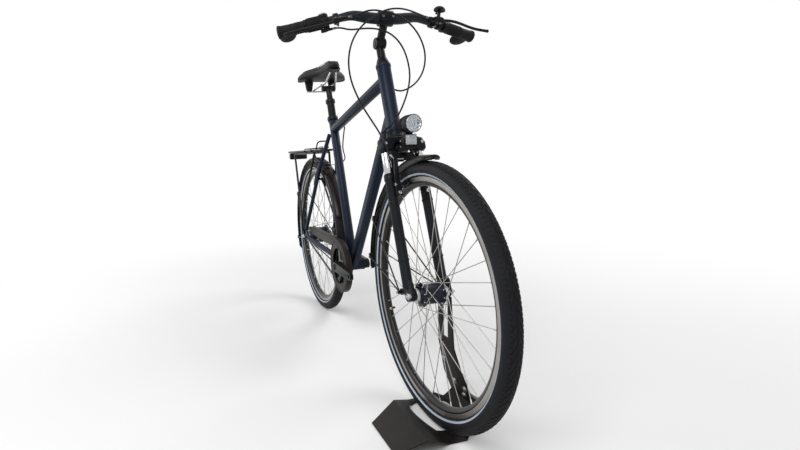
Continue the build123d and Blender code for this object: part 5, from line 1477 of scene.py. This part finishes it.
chain_pitch = 0.0127
spots = chain_path(chain_pitch)
side_view = Matrix(((1, 0, 0, 0), (0, 0, 1, 0), (0, 1, 0, 0),
                    (0, 0, 0, 1)))  # local X ahead, local Y up
waist = []
for k in range(24):
    turn = 2 * math.pi * k / 24
    along, up = math.cos(turn), math.sin(turn)
    waist.append((0.00635 * (1 if along > 0.2 else -1 if along < -0.2 else along * 5) + 0.0034 * along,
                  (0.0037 if abs(along) > 0.25 else 0.0029) * up))
waist.append(waist[0])
links_made = []
for n, spot in enumerate(spots):
    ahead_spot = spots[(n + 1) % len(spots)]
    middle, way = (spot + ahead_spot) / 2, ahead_spot - spot
    wide = 0.0026 if n % 2 else 0.0017
    turn = Matrix.Rotation(-math.atan2(way.y, way.x), 4, "Y")
    for s in (1, -1):
        place = Matrix.Translation((middle.x, chain_y + s * wide, middle.y)) @ turn @ side_view
        links_made.append(plate("link", waist, 0.0008, place @ Matrix.Translation((0, 0, -0.0004))))
    pin_at = Vector((spot.x, chain_y, spot.y))
    links_made.append(rod("pin", pin_at - Vector((0, 0.0036, 0)), pin_at + Vector((0, 0.0036, 0)),
                          0.0018, None, 8))
chain_piece = joined("chain_piece", *links_made)
done(smooth(chain_piece, 40), dark_steel, "frame", "chain")
print("chain of", len(spots), "links")

# %% [markdown]
# The bottom bracket's cups and one cap on the crank close the crank axle. The chainring is stamped steel
# with teeth, bolted to a five-armed spider.
# %% Chainring teeth, crank cap, chainring bolts and cups
polish("chainring", dark_steel, "cranks", 0.0005)
ring_teeth = []
for k in range(42):
    turn = math.radians(360 / 42 * k)
    at = crank_place + Vector((0.0862 * math.cos(turn), chain_y, 0.0862 * math.sin(turn)))
    place = Matrix.Translation(at) @ Matrix.Rotation(-turn, 4, "Y")
    ring_teeth.append(block("tooth", (0.0050, 0.0019, 0.0056), place, 0.0007))
done(joined("chainring_teeth", *ring_teeth), dark_steel, "cranks")
arms_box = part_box("crank_arms")
seats = [((crank_place.x, arms_box[0].y, crank_place.z), (0, -1, 0))]
cap = soften(turned("crank_cap", [(0, 0), (0.0125, 0), (0.0130, 0.0006), (0.0118, 0.0022),
                                  (0.0060, 0.0028), (0, 0.0028)],
                    pointing((crank_place.x, arms_box[0].y + 0.0002, crank_place.z),
                             (crank_place.x, arms_box[0].y - 1, crank_place.z)), 40),
             0.0003)
done(cap, black_plastic, "cranks")
ring_bolts = []
for k in range(5):
    turn = math.radians(72 * k + 36)
    at = (crank_place.x + 0.0655 * math.cos(turn), chain_y - 0.0038,
          crank_place.z + 0.0655 * math.sin(turn))
    ring_bolts.append((at, (0, -1, 0)))
bolts("chainring_bolts", 0.0042, 0.0020, ring_bolts, steel, "cranks")
shell_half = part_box("bottom_bracket")
for s in (1, -1):
    end = shell_half[1].y if s > 0 else shell_half[0].y
    cup = turned("cup", [(0.0136, -0.0010), (0.0178, -0.0010), (0.0178, 0.0018), (0.0168, 0.0026),
                         (0.0136, 0.0026), (0.0136, -0.0010)],
                 pointing((crank_place.x, end, crank_place.z),
                          (crank_place.x, end + s, crank_place.z)), 48)
    done(soften(cup, 0.0003), steel if s > 0 else dark_steel,
         "frame").name = "bracket_cup_" + ("left" if s > 0 else "right")

# %% [markdown]
# The carrier is a loop of tube with cross bars and a sprung clip that holds a parcel down. The clip is bent
# wire with two coils at its hinge. Welded joints leave a small fillet of metal round each bar's end, which is
# added as a ring.
# %% Carrier
rack_z = 0.757
front_x = rear_axle.x + 0.150
clip_line = []
for x, y in ((front_x - 0.020, 0.020), (front_x - 0.090, 0.026), (front_x - 0.230, 0.030),
             (front_x - 0.282, 0.026),
             (front_x - 0.290, 0.014), (front_x - 0.290, -0.014), (front_x - 0.282, -0.026),
             (front_x - 0.230, -0.030),
             (front_x - 0.090, -0.026), (front_x - 0.020, -0.020)):
    clip_line.append((x, y, rack_z + 0.0105))
clip = hose("carrier_clip", clip_line, 0.0024, 4)
coils = []
for s in (1, -1):
    coil = [(front_x - 0.020 + 0.0062 * math.cos(math.radians(36 * k)), s * (0.020 - 0.0006 * k),
             rack_z + 0.0108 + 0.0062 * math.sin(math.radians(36 * k))) for k in range(28)]
    coils.append(hose("coil", coil, 0.0014, 2))
done(joined("carrier_clip", clip, *coils), black_steel, "frame")
welds = []
for x in (front_x - 0.070, front_x - 0.190, front_x - 0.310):
    for s in (1, -1):
        y = s * 0.046
        welds.append(turned("weld", [(0.0040, -0.004), (0.0046, -0.004), (0.0050, 0.0),
                                     (0.0062, 0.004), (0.0040, 0.004), (0.0040, -0.004)],
                                     pointing((x, y, rack_z), (x, y + s, rack_z)), 20))
done(smooth(joined("carrier_welds", *welds), 60), black_steel, "frame")
lens_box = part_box("rear_light_lens")
lamp_middle = (lens_box[0].z + lens_box[1].z) / 2
red_lens = finish("red_lens", (0.20, 0.008, 0.008), 0.14, 0, 500, 0.002, 0.1, 0.4, 0.04, 0.5)
faceted(red_lens, 300, 0.4, 0.001)
size = lens_box[1] - lens_box[0]
lens = block("rear_light_lens_piece", tuple(size),
             Matrix.Translation((lens_box[0] + lens_box[1]) / 2), 0.0028)
done(lens, red_lens, "frame", "rear_light_lens")
ribs = [block("rib", (0.0016, 0.0012, size.z - 0.008),
              Matrix.Translation((lens_box[0].x + 0.0004,
                                  -size.y / 2 + 0.010 + k * (size.y - 0.020) / 12, lamp_middle)),
                                  0.0005)
        for k in range(13)]
done(joined("rear_light_ribs", *ribs), red_lens, "frame")

# %% [markdown]
# Small fittings finish the frame: the seat clamp's bolt, the post's clamp bolts, and the screws, a ridge and
# the lip of the chain case.
# %% Frame fittings
clamp_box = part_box("seat_clamp")
clamp_middle = (clamp_box[0] + clamp_box[1]) / 2
bolts("seat_clamp_bolt", 0.0042, 0.0040, [((clamp_box[0].x + 0.004, clamp_middle.y - 0.011,
                                            clamp_middle.z), (0, -1, 0))],
      steel, "frame")
top_of_post = seat @ Vector((0, 0, 0.739))
bolts("post_clamp_bolts", 0.0050, 0.0045,
      [((top_of_post.x + d, s * 0.0285, top_of_post.z + 0.0135), (0, s, 0))
       for s in (1, -1) for d in (0,)], steel, "frame")
case_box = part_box("chain_case")
seats = []
for turn in (60, 150, 240, 330):
    a = math.radians(turn)
    at = (crank_place.x + 0.086 * math.cos(a), case_box[0].y, crank_place.z + 0.086 * math.sin(a))
    seats.append((at, (0, -1, 0)))
seats.append(((rear_axle.x + 0.075, case_box[0].y, crank_place.z + 0.085), (0, -1, 0)))
bolts("case_screws", 0.0032, 0.0016, seats, dark_steel, "frame")
ridge = turned("case_ridge", [(0.0700, -0.0012), (0.0724, -0.0012), (0.0724, 0.0010),
                              (0.0700, 0.0010), (0.0700, -0.0012)],
               pointing((crank_place.x, case_box[0].y, crank_place.z),
                        (crank_place.x, case_box[0].y - 1, crank_place.z)), 96)
lip = turned("case_lip", [(0.0985, -0.0010), (0.1012, -0.0010), (0.1008, 0.0012), (0.0988, 0.0012),
                          (0.0985, -0.0010)],
             pointing((crank_place.x, case_box[0].y, crank_place.z),
                      (crank_place.x, case_box[0].y - 1, crank_place.z)), 128)
done(joined("case_edges", smooth(ridge), smooth(lip)), case_plastic, "frame")
print("rear fittings made")

# %% [markdown]
# The floor stand is two pieces of 3 mm and 4 mm steel sheet: a folded base with a round hole for the tyre and a
# cranked arm whose forked end holds the axle. Each sheet keeps its cut outline; its edges are broken by the
# paint, so they get a small bevel, and the arm is bolted to the base with cap screws.
# %% Stand
polish("stand_base", stand_paint, "front", 0.0009, 3, 20)
arm_piece = polish("stand_arm", stand_paint, "front", 0.0011, 3, 20)


def facing(obj, start, way):
    """Where a ray from start first meets an object, and the face's direction there."""
    hit, spot, normal, _ = obj.ray_cast(Vector(start), Vector(way))
    return (spot, normal) if hit else None


screws = []
for x, z in ((-0.004, 0.093), (0.045, 0.090), (0.032, 0.066), (-0.034, 0.150)):
    found = facing(arm_piece, (front_axle.x + x, 0.026, z), (0, 1, 0))
    if found:
        screws.append((found[0], found[1]))
print(len(screws), "screws on the stand's arm")
if screws:
    bolts("stand_screws", 0.0058, 0.0046, screws, steel, "front")
washers = []
for spot, normal in screws:
    washers.append(soften(turned("washer", [(0.0045, 0), (0.0085, 0), (0.0085, 0.0014),
                                            (0.0045, 0.0014), (0.0045, 0)],
                                 pointing(spot - normal * 0.0002, spot + normal), 28), 0.0003))
if washers:
    done(joined("stand_washers", *washers), steel, "front")
print("stand made")

# %% [markdown]
# The parts whose shape is already right keep it: tubes, stays, plates and brackets. They are polished copies,
# each in the finish of the real part.
# %% Parts that keep their shape
kept = {
    "head_tube": (frame_paint, "frame", 0.0012), "top_tube": (frame_paint, "frame", 0.0006),
    "down_tube": (frame_paint, "frame", 0.0006), "seat_tube": (frame_paint, "frame", 0.0010),
    "bottom_bracket": (frame_paint, "frame", 0.0010), "chainstays": (frame_paint, "frame", 0.0010),
    "seatstays": (frame_paint, "frame", 0.0010), "seat_clamp": (black_alloy, "frame", 0.0008),
    "seatpost_lower": (post_paint, "frame", 0.0010),
    "seatpost_upper": (post_paint, "frame", 0.0008),
    "saddle": (black_plastic, "frame", 0.003), "saddle_rails": (steel, "frame", 0),
    "saddle_springs": (rubber, "frame", 0.0015), "rack_top": (black_steel, "frame", 0.0006),
    "rack_sides": (black_steel, "frame", 0.0006), "rear_light": (black_plastic, "frame", 0.0015),
    "rear_light_lens": (black_plastic, "frame", 0.0008),
    "rear_fender": (fender_plastic, "frame", 0.0006),
    "rear_fender_stays": (black_steel, "frame", 0.0003),
    "rear_brake": (black_alloy, "frame", 0.0008),
    "chain_case": (case_plastic, "frame", 0.0012), "chain": (dark_steel, "frame", 0.0003),
    "rear_axle": (steel, "frame", 0.0006), "frame_cables": (housing, "frame", 0),
    "crank_axle": (steel, "cranks", 0.0004), "crank_arms": (black_alloy, "cranks", 0.0016),
    "chainring": (black_alloy, "cranks", 0.0005),
    "fork_lowers": (fork_paint, "front", 0.0014), "fork_stanchions": (chrome, "front", 0.0004),
    "fork_crown": (fork_paint, "front", 0.0025), "headset_cap": (black_alloy, "front", 0.0012),
    "stem_base": (black_alloy, "front", 0.0012), "stem_neck": (black_alloy, "front", 0.0014),
    "stem_faceplate": (black_alloy, "front", 0.0014), "handlebar": (bar_paint, "front", 0),
    "grips": (grip_rubber, "front", 0.0015), "twist_shifter": (black_plastic, "front", 0.0012),
    "brake_levers": (black_alloy, "front", 0.0012), "bell": (black_plastic, "front", 0.0015),
    "front_fender": (fender_plastic, "front", 0.0006),
    "front_fender_stays": (black_steel, "front", 0.0003),
    "headlight": (black_plastic, "front", 0.0012), "headlight_lens": (chrome, "front", 0.001),
    "headlight_bracket": (black_plastic, "front", 0.0012),
    "front_reflector": (chrome, "front", 0.001),
    "front_brake": (black_alloy, "front", 0.0008), "front_brake_cable": (housing, "front", 0),
    "gear_cable": (housing, "front", 0), "rear_brake_cable": (housing, "front", 0),
    "front_axle": (steel, "front", 0.0006), "stand_base": (stand_paint, "front", 0.0010),
    "stand_arm": (stand_paint, "front", 0.0010),
}
for node, (colour, body, width) in kept.items():
    if node not in polished:
        polish(node, colour, body, width)
print(sorted(set(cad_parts) - polished), "left as they are")

# %% [markdown]
# The bicycle stands on a plain white studio floor. Near it the floor is a pale matt surface that keeps the
# shadow; further out it turns into pure white for the camera and for reflections, so no horizon shows.
# %% Floor
def seen_ray(nodes, links):
    """1 for camera, mirror and glass rays."""
    path = nodes.new("ShaderNodeLightPath")
    first, second = nodes.new("ShaderNodeMath"), nodes.new("ShaderNodeMath")
    first.operation = second.operation = "MAXIMUM"
    links.new(path.outputs["Is Camera Ray"], first.inputs[0])
    links.new(path.outputs["Is Glossy Ray"], first.inputs[1])
    links.new(first.outputs[0], second.inputs[0])
    links.new(path.outputs["Is Transmission Ray"], second.inputs[1])
    return second.outputs[0]


bpy.ops.object.select_all(action="DESELECT")
bpy.ops.mesh.primitive_circle_add(vertices=96, radius=16, fill_type="NGON", location=(0, 0, 0))
floor = bpy.context.object
floor.name = "floor"
floor_finish = bpy.data.materials.new("studio_floor")
floor_finish.use_nodes = True
nodes, links = floor_finish.node_tree.nodes, floor_finish.node_tree.links
shader = nodes["Principled BSDF"]
shader.inputs["Base Color"].default_value = (0.93, 0.93, 0.93, 1)
shader.inputs["Roughness"].default_value = 0.75
shader.inputs["Specular IOR Level"].default_value = 0.2
place = nodes.new("ShaderNodeTexCoord")
reach = nodes.new("ShaderNodeVectorMath")
reach.operation = "LENGTH"
fade = nodes.new("ShaderNodeMapRange")
fade.interpolation_type = "SMOOTHSTEP"
fade.inputs["From Min"].default_value, fade.inputs["From Max"].default_value = 0.9, 2.6
both = nodes.new("ShaderNodeMath")
both.operation = "MULTIPLY"
white = nodes.new("ShaderNodeEmission")
mixed = nodes.new("ShaderNodeMixShader")
links.new(place.outputs["Object"], reach.inputs[0])
links.new(reach.outputs["Value"], fade.inputs["Value"])
links.new(fade.outputs["Result"], both.inputs[0])
links.new(seen_ray(nodes, links), both.inputs[1])
links.new(both.outputs[0], mixed.inputs["Fac"])
links.new(shader.outputs["BSDF"], mixed.inputs[1])
links.new(white.outputs["Emission"], mixed.inputs[2])
links.new(mixed.outputs["Shader"], nodes["Material Output"].inputs["Surface"])
floor.data.materials.append(floor_finish)

# %% [markdown]
# Soft light comes from the white room itself and from three large lamps: one high in front of the handlebar,
# one behind the saddle and one low at the side. The black parts need broad bright things to mirror, or they
# would be holes.
# %% Room and lamps
world = bpy.data.worlds.new("studio")
bpy.context.scene.world = world
world.use_nodes = True
nodes, links = world.node_tree.nodes, world.node_tree.links
room, shown = nodes["Background"], nodes.new("ShaderNodeBackground")
room.inputs["Color"].default_value = (1, 1, 1, 1)
room.inputs["Strength"].default_value = 0.45
shown.inputs["Color"].default_value = (1, 1, 1, 1)
mixed = nodes.new("ShaderNodeMixShader")
links.new(seen_ray(nodes, links), mixed.inputs["Fac"])
links.new(room.outputs["Background"], mixed.inputs[1])
links.new(shown.outputs["Background"], mixed.inputs[2])
links.new(mixed.outputs["Shader"], nodes["World Output"].inputs["Surface"])


def lamp(name, place, target, size, power):
    """A square soft lamp that looks at a point."""
    data = bpy.data.lights.new(name, "AREA")
    data.shape, data.size, data.energy = "SQUARE", size, power
    obj = bpy.data.objects.new(name, data)
    bpy.context.scene.collection.objects.link(obj)
    obj.matrix_world = pointing(place, place - (Vector(target) - Vector(place)))
    return obj


lamp("key", Vector((2.2, -1.8, 2.8)), (0.2, 0, 0.5), 1.8, 62)
lamp("fill", Vector((-1.8, -2.6, 1.9)), (0, 0, 0.6), 1.8, 34)
lamp("rim", Vector((-0.8, 2.4, 2.5)), (0.2, 0, 0.5), 1.6, 34)

# %% [markdown]
# The camera stands at the bicycle's front right, a little above the lamp, and looks back along it. Its roll is
# small, and a small shift frames the whole machine.
# %% Camera
camera_data = bpy.data.cameras.new("camera")
camera = bpy.data.objects.new("camera", camera_data)
bpy.context.scene.collection.objects.link(camera)
bpy.context.scene.camera = camera
yaw, pitch, roll = math.radians(164.5420), math.radians(-8.1131), -0.0496
forward = Vector((math.cos(yaw) * math.cos(pitch), math.sin(yaw) * math.cos(pitch),
                  math.sin(pitch)))
right = forward.cross(Vector((0, 0, 1))).normalized()
up = right.cross(forward)
camera_right = right * math.cos(roll) + up * math.sin(roll)
camera_up = up * math.cos(roll) - right * math.sin(roll)
view = Matrix((camera_right, camera_up, -forward)).transposed().to_4x4()
view.translation = Vector((1.67405, -0.6102, 0.7428))
camera.matrix_world = view
camera_data.lens, camera_data.shift_x, camera_data.shift_y = 21.4448, 0.1013, -0.00417
bpy.context.scene.view_settings.view_transform = "Standard"
